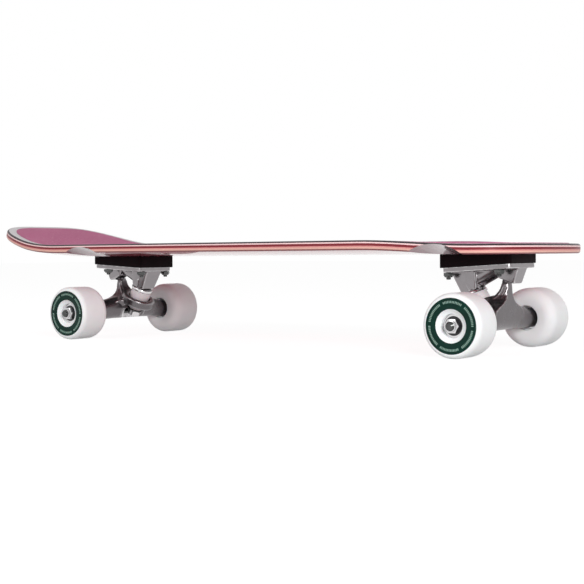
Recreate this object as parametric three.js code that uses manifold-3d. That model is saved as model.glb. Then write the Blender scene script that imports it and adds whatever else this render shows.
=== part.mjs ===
// Cruiser skateboard in millimetres: +X to the nose, +Y to the rider's left, +Z up.
// The origin is on the floor under the middle of the board, which stands on its four wheels.
import * as THREE from 'three';
import { mergeVertices } from 'three/addons/utils/BufferGeometryUtils.js';
import Module from 'manifold-3d';

const wasm = await Module();
wasm.setup();

// Clearances that pieces share
const fitGap = 0.3;
const stackGap = 0.15;
const cutOverrun = 2;

// Fineness of round shapes and of the finished meshes
const meshTolerance = 0.01;
const edgeSteps = 3;
const cornerSteps = 4;
const hexSides = 6;

// Wheels and what turns inside them
const wheelRadius = 30;
const wheelWidth = 40;
const wheelFaceRadius = 26;
const wheelLipDepth = 5.5;
const wheelBackRadius = 19;
const wheelBackDepth = 11;
const wheelDishRadius = 15.3;
const wheelDishDepth = 2.6;
const wheelBackDishRadius = 12.4;
const wheelBackDishDepth = 5.5;
const wheelHubRadius = 8;
const wheelSides = 24;
const bearingRadius = 11;
const bearingWidth = 7;
const bearingRecess = 5.6;
const bearingSides = 14;
const spacerLength = 10;
const spacerRadius = 5.5;

// Axle and its nuts
const axleRadius = 4;
const axleTipReach = 3.15;
const washerThickness = 1;
const washerRadius = 6;
const axleNutFlats = 12.7;
const axleNutHeight = 5.6;
const axleNutCollar = 2;
const axleNutCollarShare = 0.42;

// Deck: outline, kick and concave
const deckLength = 710;
const deckWidth = 203;
const deckThickness = 9.6;
const deckEdgeRadius = 2.8;
const tailOverhang = 150;
const noseOverhang = 64;
const tailTaper = 200;
const noseTaper = 84;
const tailLengthPower = 3.4;
const tailWidthPower = 3.9;
const noseLengthPower = 3.6;
const noseWidthPower = 2.46;
const kickSetback = 10;
const kickRadius = 250;
const kickAngle = THREE.MathUtils.degToRad(16.5);
const concaveRise = 4.9;
const flatHalfWidth = 35.5;
const concaveTailFade = 120;
const concaveNoseFade = 120;
const concaveNoseSetback = 98;
const middleStations = 7;
const tailShares = [
  0, 0.003, 0.015, 0.04, 0.08, 0.14, 0.21, 0.28, 0.34, 0.4, 0.46, 0.52, 0.58, 0.64, 0.7, 0.85, 1,
];
const noseShares = [0.82, 0.64, 0.48, 0.34, 0.22, 0.12, 0.05, 0.015, 0.003, 0];
const acrossShares = [1, 0.8, 0.58, 0.35, 0, -0.35, -0.58, -0.8, -1];

// Wheel wells under the deck
const wellRadius = 52;
const wellTopBelowSurface = 3.2;
const wellTilt = THREE.MathUtils.degToRad(13);
const frontWellInset = 17;
const rearWellInset = 26;
const wellSides = 36;

// Grip sheet on the deck
const gripThickness = 1;
const gripGap = 0.5;
const gripBorder = 11;
const gripHoleClearance = 0.7;

// Riser wedge and baseplate, whose top is parallel to the wedge
const plateLength = 75;
const plateWidth = 56;
const plateInboardReach = 50;
const plateCorner = 5;
const plateThickness = 4.4;
const plateInset = 1.8;
const plateRise = 51;
const riserThick = 13.2;
const riserThin = 8.8;
const riserCorner = 4;
const riserMarginAlong = 0.5;
const riserMarginAcross = 1.7;

// Mounting bolts
const boltSpacingAlong = 54;
const boltSpacingAcross = 41.3;
const boltInboardReach = 44.3;
const boltRadius = 2.4;
const boltHeadRadius = 4.5;
const boltHeadDepth = 3;
const boltTipReach = 2.2;
const boltSides = 10;
const lockNutFlats = 9.5;
const lockNutHeight = 3.2;
const lockNutCollar = 1.2;
const lockNutCollarRadius = 4.2;
const lockNutClearance = 2.16;

// Kingpin, which leans back from the axle, and its stack of washers and bushings
const kingpinLean = THREE.MathUtils.degToRad(26);
const kingpinNutClearance = 0.7;
const kingpinRadius = 4.75;
const kingpinHeadRadius = 6.5;
const kingpinHeadDepth = 4;
const kingpinHeadInset = 1.2;
const kingpinTipReach = 1.3;
const kingpinNutFlats = 14.3;
const kingpinNutHeight = 6.2;
const yokeTop = 22.05;
const seatWasherThickness = 2.2;
const seatWasherLip = 1;
const seatWasherClearance = 0.4;
const upperBushingHeight = 12.2;
const upperBushingWaist = 11.2;
const upperBushingBulge = 0.8;
const lowerBushingHeight = 5.5;
const lowerBushingTop = 9.5;
const lowerBushingFoot = 8;
const footWasherThickness = 1.7;
const footWasherRadius = 8.8;
const roundSides = 16;

// Housings cast under the baseplate
const bossRadius = 11.8;
const ridgeEnd = 34;
const ridgeStartRadius = 10.2;
const ridgeEndRadius = 9;
const kingpinHousing = {
  topInboard: 48.2, topOutboard: 20, topRise: 50,
  topHalfWidth: boltSpacingAcross / 2 - lockNutFlats / Math.sqrt(3) - lockNutClearance,
  footInboard: 36, footOutboard: 20, footHalfWidth: 10.2, footRise: 25.4,
};
const pivotHousing = {
  topInboard: 0, topOutboard: 25, topHalfWidth: 10.2, topRise: 52,
  footInboard: -1.7, footOutboard: 19.4, footHalfWidth: 8.9, footDrop: 0.7, footStep: 5.8,
};

// Pivot and its cup
const steerAngle = THREE.MathUtils.degToRad(45);
const pivotCupInset = 6.7;
const pivotRadius = 4.4;
const pivotTipRound = 1.6;
const pivotLength = 13;
const pivotCupWall = 1.6;
const pivotCupDepth = 6;
const shoulderGap = 0.6;

// Hanger casting
const hangerWidth = 134;
const hangerEndInset = 1.2;
const hangerEndLength = 8;
const hangerShoulder = 24;
const hangerShoulderRise = 3.7;
const hangerShoulderHeight = 12.7;
const hangerShoulderDepth = 11.5;
const hangerSides = 14;
const yokeRadius = 19.5;
const yokeThickness = 7.8;
const yokeHoleRadius = 8.2;
const yokeEdgeRadius = 2.2;
const neckHalfWidth = 13;
const neckRootHalfWidth = 32;
const neckRootHeight = 12;
const pocketHalfWidth = 12.7;
const pocketDepth = 9;
const bushingPocketClearance = 1.5;
const stemCover = 1.35;
const stemHalfDepth = 12.25;
const stemHalfWidth = 22;
const stemChamfer = 1.5;
// Rows up the stem: shares of its rise, of its lean out to the pivot, and of its half depth and width
const stemShares = [
  [0.16, 0.369, 0.735, 1],
  [0.38, -0.111, 1, 0.77],
  [0.48, -0.051, 0.948, 0.5],
  [0.575, 0.21, 0.85, 0.34],
  [0.685, 0.66, 0.58, 0.255],
  [0.82, 1.01, 0.38, 0.227],
  [1, 1.19, 0.28, 0.218],
];

// Colours, roughness and metalness of the materials
const finishes = {
  maple: { color: 0xf0c0b4, roughness: 0.5, metalness: 0 },
  grip: { color: 0xb26e8c, roughness: 0.9, metalness: 0 },
  riser: { color: 0x18120f, roughness: 0.6, metalness: 0 },
  cast: { color: 0x9a9598, roughness: 0.35, metalness: 1 },
  steel: { color: 0xc9c9c9, roughness: 0.25, metalness: 1 },
  nylon: { color: 0x1c2422, roughness: 0.5, metalness: 0.2 },
  bushing: { color: 0xe4e0e0, roughness: 0.4, metalness: 0 },
  cup: { color: 0x222222, roughness: 0.6, metalness: 0 },
  wheel: { color: 0xf2f1f2, roughness: 0.35, metalness: 0 },
};

// Sizes worked out from the ones above
const axleSpacing = deckLength - tailOverhang - noseOverhang;
const plateTop = wheelRadius + plateRise;
const wedgeAngle = Math.atan2(riserThick - riserThin, plateLength);
const deckUnderside = plateTop + riserThick + 2 * stackGap;
const deckTop = deckUnderside + deckThickness;
const boltHeadTop = deckTop + gripThickness;
const gripHoleRadius = boltHeadRadius + gripHoleClearance;
const kickStart = -axleSpacing / 2 - kickSetback;
const tailTip = -axleSpacing / 2 - tailOverhang;
const noseTip = axleSpacing / 2 + noseOverhang;
const hangerEnd = hangerWidth / 2;
const hangerEndRadius = bearingRadius - hangerEndInset;
const kingpinSetback = axleRadius + kingpinNutClearance + kingpinNutFlats / 2;
const upperBushingRadius = upperBushingWaist + upperBushingBulge;
const seatWasherRadius = upperBushingWaist + seatWasherClearance + seatWasherLip;
const bushingPocketRadius = lowerBushingTop + bushingPocketClearance;
const pivotCupRadius = pivotRadius + fitGap + pivotCupWall;
const boltXs = [-boltInboardReach, boltSpacingAlong - boltInboardReach];
const boltYs = [-boltSpacingAcross / 2, boltSpacingAcross / 2];

// Welds a geometry's shared corners and drops faces that shrank to nothing.
function weld(geometry) {
  const bare = geometry.clone();
  bare.deleteAttribute('normal');
  bare.deleteAttribute('uv');
  const merged = mergeVertices(bare);
  const index = merged.index.array;
  const kept = [];
  for (let i = 0; i < index.length; i += 3) {
    const [a, b, c] = [index[i], index[i + 1], index[i + 2]];
    if (a !== b && b !== c && c !== a) kept.push(a, b, c);
  }
  merged.setIndex(kept);
  return merged;
}

function toSolid(geometry) {
  const welded = weld(geometry);
  const vertProperties = new Float32Array(welded.attributes.position.array);
  const triVerts = new Uint32Array(welded.index.array);
  return new wasm.Manifold(new wasm.Mesh({ numProp: 3, vertProperties, triVerts }));
}

function toGeometry(solid) {
  const mesh = solid.simplify(meshTolerance).getMesh();
  const geometry = new THREE.BufferGeometry();
  geometry.setAttribute('position', new THREE.BufferAttribute(mesh.vertProperties, 3));
  geometry.setIndex(new THREE.BufferAttribute(mesh.triVerts, 1));
  return geometry;
}

// Joins the first list of geometries and cuts the second list away.
function shaped(joined, cuts) {
  let solid = toSolid(joined[0]);
  for (const geometry of joined.slice(1)) solid = solid.add(toSolid(geometry));
  for (const geometry of cuts) solid = solid.subtract(toSolid(geometry));
  return toGeometry(solid);
}

// Turns a profile of [radius, height] pairs about Z; a ring's profile is closed on itself.
function turned(profile, sides, closed = false) {
  const points = profile.map(([radius, height]) => new THREE.Vector2(radius, height));
  if (closed) points.push(points[0].clone());
  return new THREE.LatheGeometry(points, sides).rotateX(Math.PI / 2);
}

function disc(radius, low, high, sides) {
  return turned([[0, low], [radius, low], [radius, high], [0, high]], sides);
}

function ring(inner, outer, low, high, sides) {
  return turned([[outer, low], [outer, high], [inner, high], [inner, low]], sides, true);
}

// A hexagon prism across the given flats, with one flat facing +X.
function hexagon(flats, low, high) {
  const corner = flats / 2 / Math.cos(Math.PI / hexSides);
  return turned([[0, low], [corner, low], [corner, high], [0, high]], hexSides);
}

function box(xs, ys, zs) {
  const size = [xs, ys, zs].map(([low, high]) => high - low);
  const middle = [xs, ys, zs].map(([low, high]) => (low + high) / 2);
  return new THREE.BoxGeometry(...size).translate(...middle);
}

// A plate whose outline has round corners, from z = 0 down to its thickness.
function roundedPlate(xs, halfWidth, corner, thickness) {
  const shape = new THREE.Shape();
  shape.moveTo(xs[0] + corner, -halfWidth);
  shape.absarc(xs[1] - corner, -halfWidth + corner, corner, -Math.PI / 2, 0);
  shape.absarc(xs[1] - corner, halfWidth - corner, corner, 0, Math.PI / 2);
  shape.absarc(xs[0] + corner, halfWidth - corner, corner, Math.PI / 2, Math.PI);
  shape.absarc(xs[0] + corner, -halfWidth + corner, corner, Math.PI, 1.5 * Math.PI);
  const options = { depth: thickness, bevelEnabled: false, curveSegments: cornerSteps };
  return new THREE.ExtrudeGeometry(shape, options).translate(0, 0, -thickness);
}

// Skins rings that hold the same number of points, and closes both ends.
function loft(rings) {
  const count = rings[0].length;
  const positions = rings.flat(2);
  const faces = [];
  for (let k = 0; k + 1 < rings.length; k += 1) {
    for (let i = 0; i < count; i += 1) {
      const [a, b] = [k * count + i, k * count + (i + 1) % count];
      faces.push(a, b, b + count, a, b + count, a + count);
    }
  }
  const last = (rings.length - 1) * count;
  for (let i = 1; i + 1 < count; i += 1) {
    faces.push(0, i + 1, i, last, last + i, last + i + 1);
  }
  const geometry = new THREE.BufferGeometry();
  geometry.setAttribute('position', new THREE.Float32BufferAttribute(positions, 3));
  geometry.setIndex(faces);
  return geometry;
}

// The local frame of the kingpin: its Z runs up the kingpin from the foot nearest the axle.
const kingpinFoot = new THREE.Vector3(
  -kingpinSetback * Math.cos(kingpinLean),
  0,
  wheelRadius - kingpinSetback * Math.sin(kingpinLean),
);
const kingpinFrame = new THREE.Matrix4()
  .makeRotationY(-kingpinLean)
  .setPosition(kingpinFoot);

// Heights along the kingpin: up from the yoke to the baseplate's seat, then down to the tip
const upperBushingTop = yokeTop + stackGap + upperBushingHeight;
const seatWasherTop = upperBushingTop + stackGap + seatWasherThickness;
const seatHeight = seatWasherTop + stackGap;
const yokeMiddle = yokeTop - yokeThickness / 2;
const lowerBushingStart = yokeTop - yokeThickness - stackGap;
const footWasherTop = lowerBushingStart - lowerBushingHeight - stackGap;
const kingpinNutTop = footWasherTop - footWasherThickness - stackGap;
const kingpinTip = kingpinNutTop - kingpinNutHeight - kingpinTipReach;

// The steering axis runs from the middle of the yoke up to the pivot.
const steerCentre = new THREE.Vector3(0, 0, yokeMiddle).applyMatrix4(kingpinFrame);
const steerFrame = new THREE.Matrix4()
  .makeRotationY(Math.PI / 2 - steerAngle)
  .setPosition(steerCentre);

// Rise of the riser's underside and the baseplate's top above their inboard edge
function wedgeRise(x) {
  return (x + plateInboardReach) * Math.tan(wedgeAngle);
}

// Height along a leaning axis at which a point beside it, out along its X, meets the baseplate's top
function heightAtPlateTop(frame, beside) {
  const start = new THREE.Vector3(beside, 0, 0).applyMatrix4(frame);
  const along = new THREE.Vector3(0, 0, 1).transformDirection(frame);
  const slope = Math.tan(wedgeAngle);
  return (plateTop + wedgeRise(start.x) - start.z) / (along.z - along.x * slope);
}

const kingpinHeadTop = heightAtPlateTop(kingpinFrame, kingpinHeadRadius) - kingpinHeadInset;
const kingpinHeadLow = kingpinHeadTop - kingpinHeadDepth;

// Distances up the steering axis, worked down from the pivot cup under the plate's top
const pivotCupTop = heightAtPlateTop(steerFrame, -pivotCupRadius) - pivotCupInset;
const pivotReach = pivotCupTop - pivotCupWall - fitGap;
const pivotRoot = pivotReach - pivotLength;
const stemTopRise = new THREE.Vector3(0, 0, pivotRoot).applyMatrix4(steerFrame).z + stemCover - wheelRadius;
const stemLean = steerCentre.x + (wheelRadius + stemTopRise - steerCentre.z) / Math.tan(steerAngle);

// Deck surface: arc length s along the board and y across give a point and its normal.
function bend(s) {
  const beyond = Math.max(0, kickStart - s);
  const angle = Math.min(beyond / kickRadius, kickAngle);
  const straight = Math.max(0, beyond - kickRadius * kickAngle);
  return {
    x: Math.max(s, kickStart) - kickRadius * Math.sin(angle) - straight * Math.cos(angle),
    z: kickRadius * (1 - Math.cos(angle)) + straight * Math.sin(angle),
    angle,
  };
}

function concaveAt(s, y) {
  const half = deckWidth / 2;
  const share = Math.max(0, Math.abs(y) - flatHalfWidth) / (half - flatHalfWidth);
  const noseFade = (s - (axleSpacing / 2 - concaveNoseSetback)) / concaveNoseFade;
  const tailFade = (kickStart - s) / concaveTailFade;
  const strength = 1 - THREE.MathUtils.smoothstep(Math.max(noseFade, tailFade), 0, 1);
  return concaveRise * share * share * strength;
}

// A point at the given height above the deck's top face.
function deckPoint(s, y, height) {
  const { x, z, angle } = bend(s);
  const lift = deckTop + concaveAt(s, y);
  return [x + height * Math.sin(angle), y, lift + z + height * Math.cos(angle)];
}

// Half the deck's width where the outline has run the given share of an end's taper
function taperWidth(share, lengthPower, widthPower) {
  return deckWidth / 2 * (1 - (1 - share) ** lengthPower) ** (1 / widthPower);
}

// Half the outline from the tail tip to the nose tip as [s, y] pairs
function outline(inset) {
  const [start, end] = [tailTip + tailTaper, noseTip - noseTaper];
  const points = tailShares.map((share) => (
    [tailTip + tailTaper * share, taperWidth(share, tailLengthPower, tailWidthPower)]));
  for (let k = 1; k <= middleStations; k += 1) {
    points.push([start + (end - start) * k / middleStations, deckWidth / 2]);
  }
  for (const share of noseShares) {
    points.push([noseTip - noseTaper * share, taperWidth(share, noseLengthPower, noseWidthPower)]);
  }
  return insetOutline(points, inset);
}

function insetOutline(points, inset) {
  const last = points.length - 1;
  return points.map(([s, y], k) => {
    if (k === 0) return [s + inset, 0];
    if (k === last) return [s - inset, 0];
    const [before, after] = [points[k - 1], points[k + 1]];
    const [along, out] = [after[0] - before[0], after[1] - before[1]];
    const size = Math.hypot(along, out);
    return [s + inset * out / size, y - inset * along / size];
  });
}

// A slab that follows the deck surface between two heights, with rounded edges.
function deckSlab(top, bottom, inset, round) {
  const levels = [[round, 0], [round * (1 - Math.SQRT1_2), round * (1 - Math.SQRT1_2)], [0, round]];
  const layers = [];
  for (const [inwards, down] of levels) layers.push([outline(inset + inwards), top - down]);
  for (const [inwards, up] of levels.toReversed()) layers.push([outline(inset + inwards), bottom + up]);
  return skinned(round > 0 ? layers : [layers[0], layers.at(-1)]);
}

function skinned(layers) {
  const rows = layers[0][0].length;
  const positions = [];
  const faces = [];
  const add = (s, y, height) => {
    positions.push(...deckPoint(s, y, height));
    return positions.length / 3 - 1;
  };
  const grid = ([edge, height]) => edge.map(([s, y]) => (
    acrossShares.map((share) => add(s, y * share, height))));
  const quad = (a, b, c, d) => faces.push(a, b, c, a, c, d);
  const topGrid = grid(layers[0]);
  const bottomGrid = grid(layers.at(-1));
  const across = acrossShares.length - 1;
  for (let k = 0; k + 1 < rows; k += 1) {
    for (let i = 0; i < across; i += 1) {
      quad(topGrid[k][i], topGrid[k][i + 1], topGrid[k + 1][i + 1], topGrid[k + 1][i]);
      quad(bottomGrid[k][i], bottomGrid[k + 1][i], bottomGrid[k + 1][i + 1], bottomGrid[k][i + 1]);
    }
  }
  for (const side of [1, -1]) {
    const loops = layers.map(([edge, height]) => edge.map(([s, y]) => add(s, y * side, height)));
    for (let j = 0; j + 1 < loops.length; j += 1) {
      for (let k = 0; k + 1 < rows; k += 1) {
        const [a, b] = side > 0 ? [k, k + 1] : [k + 1, k];
        quad(loops[j][a], loops[j][b], loops[j + 1][b], loops[j + 1][a]);
      }
    }
  }
  const geometry = new THREE.BufferGeometry();
  geometry.setAttribute('position', new THREE.Float32BufferAttribute(positions, 3));
  geometry.setIndex(faces);
  return geometry;
}

// Board coordinates of the eight mounting bolts, which both trucks share
const boltPlaces = [1, -1].flatMap((facing) => boltXs.flatMap((x) => boltYs.map((y) => ({
  x: facing * (axleSpacing / 2 + x),
  y: facing * y,
}))));

function boltHole(extra) {
  const head = boltHeadRadius + extra;
  const shank = boltRadius + extra;
  return turned([
    [0, deckUnderside - cutOverrun],
    [shank, deckUnderside - cutOverrun],
    [shank, deckTop - boltHeadDepth],
    [head, deckTop],
    [head, boltHeadTop + cutOverrun],
    [0, boltHeadTop + cutOverrun],
  ], boltSides);
}

// A wheel's arch, tilted so that it cuts deepest at the deck's edge
function wheelWell(x, side) {
  const half = deckWidth / 2;
  const top = deckTop + concaveRise - wellTopBelowSurface;
  return disc(wellRadius, -half, 0, wellSides)
    .rotateX(-side * Math.PI / 2)
    .translate(0, 0, -wellRadius)
    .rotateX(side * wellTilt)
    .translate(x, side * half, top);
}

function makeDeck() {
  const slab = deckSlab(0, -deckThickness, 0, deckEdgeRadius);
  const cuts = boltPlaces.map(({ x, y }) => boltHole(fitGap).translate(x, y, 0));
  for (const side of [1, -1]) {
    cuts.push(wheelWell(axleSpacing / 2 - frontWellInset, side));
    cuts.push(wheelWell(-axleSpacing / 2 + rearWellInset, side));
  }
  return shaped([slab], cuts);
}

function makeGrip() {
  const sheet = deckSlab(gripGap + gripThickness, gripGap, gripBorder, 0);
  const low = deckTop - cutOverrun;
  const high = deckTop + gripThickness + cutOverrun;
  const holes = boltPlaces.map(({ x, y }) => (
    disc(gripHoleRadius, low, high, boltSides).translate(x, y, 0)));
  return shaped([sheet], holes);
}

// Everything below is drawn in a truck's own frame: +X outboard, Z up from the floor.
const plateXs = [-plateInboardReach, plateLength - plateInboardReach];

function boltCuts(low, high) {
  return boltXs.flatMap((x) => boltYs.map((y) => (
    disc(boltRadius + fitGap, low, high, boltSides).translate(x, y, 0))));
}

function makeRiser() {
  const top = plateTop + stackGap + riserThick;
  const xs = [plateXs[0] - riserMarginAlong, plateXs[1] + riserMarginAlong];
  const halfWidth = plateWidth / 2 + riserMarginAcross;
  const block = roundedPlate(xs, halfWidth, riserCorner, riserThick).translate(0, 0, top);
  const reach = plateLength + riserMarginAlong + cutOverrun;
  const under = box([-riserMarginAlong - cutOverrun, reach], [-plateWidth, plateWidth], [-riserThick, 0])
    .rotateY(-wedgeAngle)
    .translate(-plateInboardReach, 0, plateTop + stackGap);
  return shaped([block], [under, ...boltCuts(plateTop - cutOverrun, top + cutOverrun)]);
}

function rectangleRing(inboard, outboard, halfWidth, inboardRise, outboardRise) {
  return [
    [inboard, -halfWidth, wheelRadius + inboardRise],
    [outboard, -halfWidth, wheelRadius + outboardRise],
    [outboard, halfWidth, wheelRadius + outboardRise],
    [inboard, halfWidth, wheelRadius + inboardRise],
  ];
}

function kingpinHousingBlock() {
  const h = kingpinHousing;
  return loft([
    rectangleRing(-h.footInboard, -h.footOutboard, h.footHalfWidth, h.footRise, h.footRise),
    rectangleRing(-h.topInboard, -h.topOutboard, h.topHalfWidth, h.topRise, h.topRise),
  ]);
}

function pivotHousingBlock() {
  const h = pivotHousing;
  const footRise = stemTopRise - h.footDrop;
  return loft([
    rectangleRing(h.footInboard, h.footOutboard, h.footHalfWidth, footRise + h.footStep, footRise),
    rectangleRing(h.topInboard, h.topOutboard, h.topHalfWidth, h.topRise, h.topRise),
  ]);
}

function makeBaseplate() {
  const flange = roundedPlate([plateInset, plateLength], plateWidth / 2, plateCorner, plateThickness)
    .rotateY(-wedgeAngle)
    .translate(-plateInboardReach, 0, plateTop);
  const far = deckLength / 2;
  const boss = disc(bossRadius, seatHeight, plateRise + plateThickness, roundSides);
  const above = box([-far, far], [-far, far], [0, far])
    .rotateY(-wedgeAngle)
    .translate(-plateInboardReach, 0, plateTop);
  const bossBack = box([-far, 0], [-far, far], [-far, far]);
  const belowFloor = box([-far, far], [-far, far], [-far, wheelRadius + kingpinHousing.footRise]);
  const belowSeat = box([-far, far], [-far, far], [-far, seatHeight]);
  const headSeat = kingpinHeadLow - stackGap;
  const shank = disc(kingpinRadius + fitGap, seatHeight - cutOverrun, headSeat + cutOverrun, roundSides);
  const head = disc(kingpinHeadRadius + fitGap, headSeat, far, roundSides);
  const socket = disc(pivotCupRadius + stackGap, pivotRoot, pivotCupTop + stackGap, roundSides);
  const ridge = turned([
    [0, bossRadius / 2],
    [ridgeStartRadius, bossRadius / 2],
    [ridgeEndRadius, ridgeEnd],
    [0, ridgeEnd],
  ], roundSides).rotateY(Math.PI / 2).translate(0, 0, seatHeight + ridgeStartRadius + stackGap);
  const halfBoss = shaped([boss], [bossBack]).applyMatrix4(kingpinFrame);
  const joined = [kingpinHousingBlock(), halfBoss, ridge.applyMatrix4(kingpinFrame)];
  const housing = shaped(joined, [belowSeat.applyMatrix4(kingpinFrame), belowFloor]);
  return shaped([flange, housing, pivotHousingBlock()], [
    above,
    shank.applyMatrix4(kingpinFrame),
    head.applyMatrix4(kingpinFrame),
    socket.applyMatrix4(steerFrame),
    ...boltCuts(wheelRadius, deckUnderside),
  ]);
}

function makePivotCup() {
  const inner = pivotRadius + fitGap;
  const end = pivotReach + fitGap;
  return turned([
    [pivotCupRadius, end - pivotCupDepth],
    [pivotCupRadius, pivotCupTop],
    [0, pivotCupTop],
    [0, end],
    [inner, end],
    [inner, end - pivotCupDepth],
    [pivotCupRadius, end - pivotCupDepth],
  ], roundSides).applyMatrix4(steerFrame);
}

function makeKingpin() {
  return turned([
    [0, kingpinTip],
    [kingpinRadius - stackGap, kingpinTip],
    [kingpinRadius, kingpinTip + stackGap],
    [kingpinRadius, kingpinHeadLow],
    [kingpinHeadRadius, kingpinHeadLow],
    [kingpinHeadRadius, kingpinHeadTop],
    [0, kingpinHeadTop],
  ], roundSides).applyMatrix4(kingpinFrame);
}

function makeKingpinNut() {
  const low = kingpinNutTop - kingpinNutHeight;
  const bore = disc(kingpinRadius + fitGap, low - cutOverrun, kingpinNutTop + cutOverrun, roundSides);
  return shaped([hexagon(kingpinNutFlats, low, kingpinNutTop)], [bore]).applyMatrix4(kingpinFrame);
}

// A cup washer with a lip that turns down over its bushing.
function makeSeatWasher() {
  const inner = kingpinRadius + fitGap;
  const low = seatWasherTop - seatWasherThickness;
  return turned([
    [seatWasherRadius, low - seatWasherLip],
    [seatWasherRadius, seatWasherTop],
    [inner, seatWasherTop],
    [inner, low],
    [seatWasherRadius - seatWasherLip, low],
    [seatWasherRadius - seatWasherLip, low - seatWasherLip],
  ], roundSides, true).applyMatrix4(kingpinFrame);
}

function makeFootWasher() {
  const inner = kingpinRadius + fitGap;
  const low = footWasherTop - footWasherThickness;
  return ring(inner, footWasherRadius, low, footWasherTop, roundSides).applyMatrix4(kingpinFrame);
}

function makeUpperBushing() {
  const inner = kingpinRadius + fitGap;
  const low = upperBushingTop - upperBushingHeight;
  const middle = upperBushingTop - upperBushingHeight / 2;
  return turned([
    [upperBushingWaist, low],
    [upperBushingRadius, middle],
    [upperBushingWaist, upperBushingTop],
    [inner, upperBushingTop],
    [inner, low],
  ], roundSides, true).applyMatrix4(kingpinFrame);
}

function makeLowerBushing() {
  const inner = kingpinRadius + fitGap;
  const low = lowerBushingStart - lowerBushingHeight;
  return turned([
    [lowerBushingFoot, low],
    [lowerBushingTop, lowerBushingStart],
    [inner, lowerBushingStart],
    [inner, low],
  ], roundSides, true).applyMatrix4(kingpinFrame);
}

// One ring of the hanger's beam, square to the axle
function beamRing(y, depth, height, rise) {
  const points = [];
  for (let i = 0; i < hangerSides; i += 1) {
    const turn = 2 * Math.PI * i / hangerSides;
    points.push([depth * Math.sin(turn), y, wheelRadius + rise + height * Math.cos(turn)]);
  }
  return points;
}

function hangerBeam() {
  const end = [hangerEndRadius, hangerEndRadius, 0];
  const shoulder = [hangerShoulderDepth, hangerShoulderHeight, hangerShoulderRise];
  return loft([
    beamRing(-hangerEnd, ...end),
    beamRing(hangerEndLength - hangerEnd, ...end),
    beamRing(-hangerShoulder, ...shoulder),
    beamRing(hangerShoulder, ...shoulder),
    beamRing(hangerEnd - hangerEndLength, ...end),
    beamRing(hangerEnd, ...end),
  ]);
}

// The stem rises from the beam to the pivot and narrows as it goes.
function hangerStem() {
  return loft(stemShares.map(([rise, lean, depth, width]) => {
    const [middle, reach, half] = [lean * stemLean, depth * stemHalfDepth, width * stemHalfWidth];
    const [low, high] = [middle - reach, middle + reach];
    const z = wheelRadius + rise * stemTopRise;
    const [near, far] = [half - stemChamfer, high - stemChamfer];
    return [
      [low, -near, z], [low + stemChamfer, -half, z], [far, -half, z], [high, -near, z],
      [high, near, z], [far, half, z], [low + stemChamfer, half, z], [low, near, z],
    ];
  }));
}

function hangerYoke() {
  const low = yokeTop - yokeThickness;
  const profile = [[0, low]];
  for (let k = 0; k <= 2 * edgeSteps; k += 1) {
    const turn = Math.PI * k / (2 * edgeSteps);
    profile.push([
      yokeRadius - yokeEdgeRadius * (1 - Math.sin(turn)),
      low + yokeThickness / 2 * (1 - Math.cos(turn)),
    ]);
  }
  profile.push([0, yokeTop]);
  return turned(profile, roundSides).applyMatrix4(kingpinFrame);
}

// The neck joins the yoke to the beam and widens along the beam.
function hangerNeck() {
  const section = (x, halfWidth, low, high) => [
    [x, -halfWidth, low],
    [x, halfWidth, low],
    [x, halfWidth, high],
    [x, -halfWidth, high],
  ];
  const yokeLow = yokeTop - yokeThickness;
  return loft([
    section(0, neckHalfWidth, yokeLow + yokeEdgeRadius, yokeTop - yokeEdgeRadius),
    section(kingpinSetback, neckRootHalfWidth, 0, neckRootHeight),
  ]).applyMatrix4(kingpinFrame);
}

function pivotPin() {
  return turned([
    [0, pivotRoot],
    [pivotRadius, pivotRoot],
    [pivotRadius, pivotReach - pivotTipRound],
    [pivotRadius - pivotTipRound, pivotReach],
    [0, pivotReach],
  ], roundSides).applyMatrix4(steerFrame);
}

function makeHanger() {
  const axleBore = disc(axleRadius + fitGap, -hangerEnd - cutOverrun, hangerEnd + cutOverrun, bearingSides)
    .rotateX(Math.PI / 2)
    .translate(0, 0, wheelRadius);
  const below = kingpinTip - hangerShoulder;
  const low = yokeTop - yokeThickness;
  const kingpinHole = disc(yokeHoleRadius, below, yokeTop + cutOverrun, roundSides);
  const pocketLow = footWasherTop - footWasherThickness;
  const bushingPocket = disc(bushingPocketRadius, pocketLow, low, roundSides);
  const halfPocket = [-pocketHalfWidth, pocketHalfWidth];
  const nutPocket = box([-yokeRadius - cutOverrun, pocketDepth], halfPocket, [below, footWasherTop]);
  const recess = disc(upperBushingRadius + fitGap, yokeTop, seatHeight, roundSides);
  const far = hangerWidth;
  const shoulder = pivotReach + fitGap - pivotCupDepth - shoulderGap;
  const aboveShoulder = box([-far, far], [-far, far], [shoulder, far]).applyMatrix4(steerFrame);
  const stem = shaped([hangerStem()], [aboveShoulder]);
  const joined = [hangerBeam(), hangerYoke(), hangerNeck(), stem, pivotPin()];
  return shaped(joined, [
    axleBore,
    kingpinHole.applyMatrix4(kingpinFrame),
    bushingPocket.applyMatrix4(kingpinFrame),
    nutPocket.applyMatrix4(kingpinFrame),
    recess.applyMatrix4(kingpinFrame),
  ]);
}

// Places along the axle, worked outwards from the hanger's end
const innerWasherStart = hangerEnd + stackGap;
const innerBearingStart = innerWasherStart + washerThickness + stackGap;
const spacerStart = innerBearingStart + bearingWidth + stackGap;
const outerBearingStart = spacerStart + spacerLength + stackGap;
const axleNutStart = outerBearingStart + bearingWidth + stackGap;
const wheelFace = outerBearingStart + bearingWidth + bearingRecess;
const wheelBack = wheelFace - wheelWidth;
const axleNutEnd = axleNutStart + washerThickness + axleNutHeight;
const axleEnd = axleNutEnd + axleTipReach;

function alongAxle(geometry) {
  return geometry.rotateX(-Math.PI / 2).translate(0, 0, wheelRadius);
}

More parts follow.
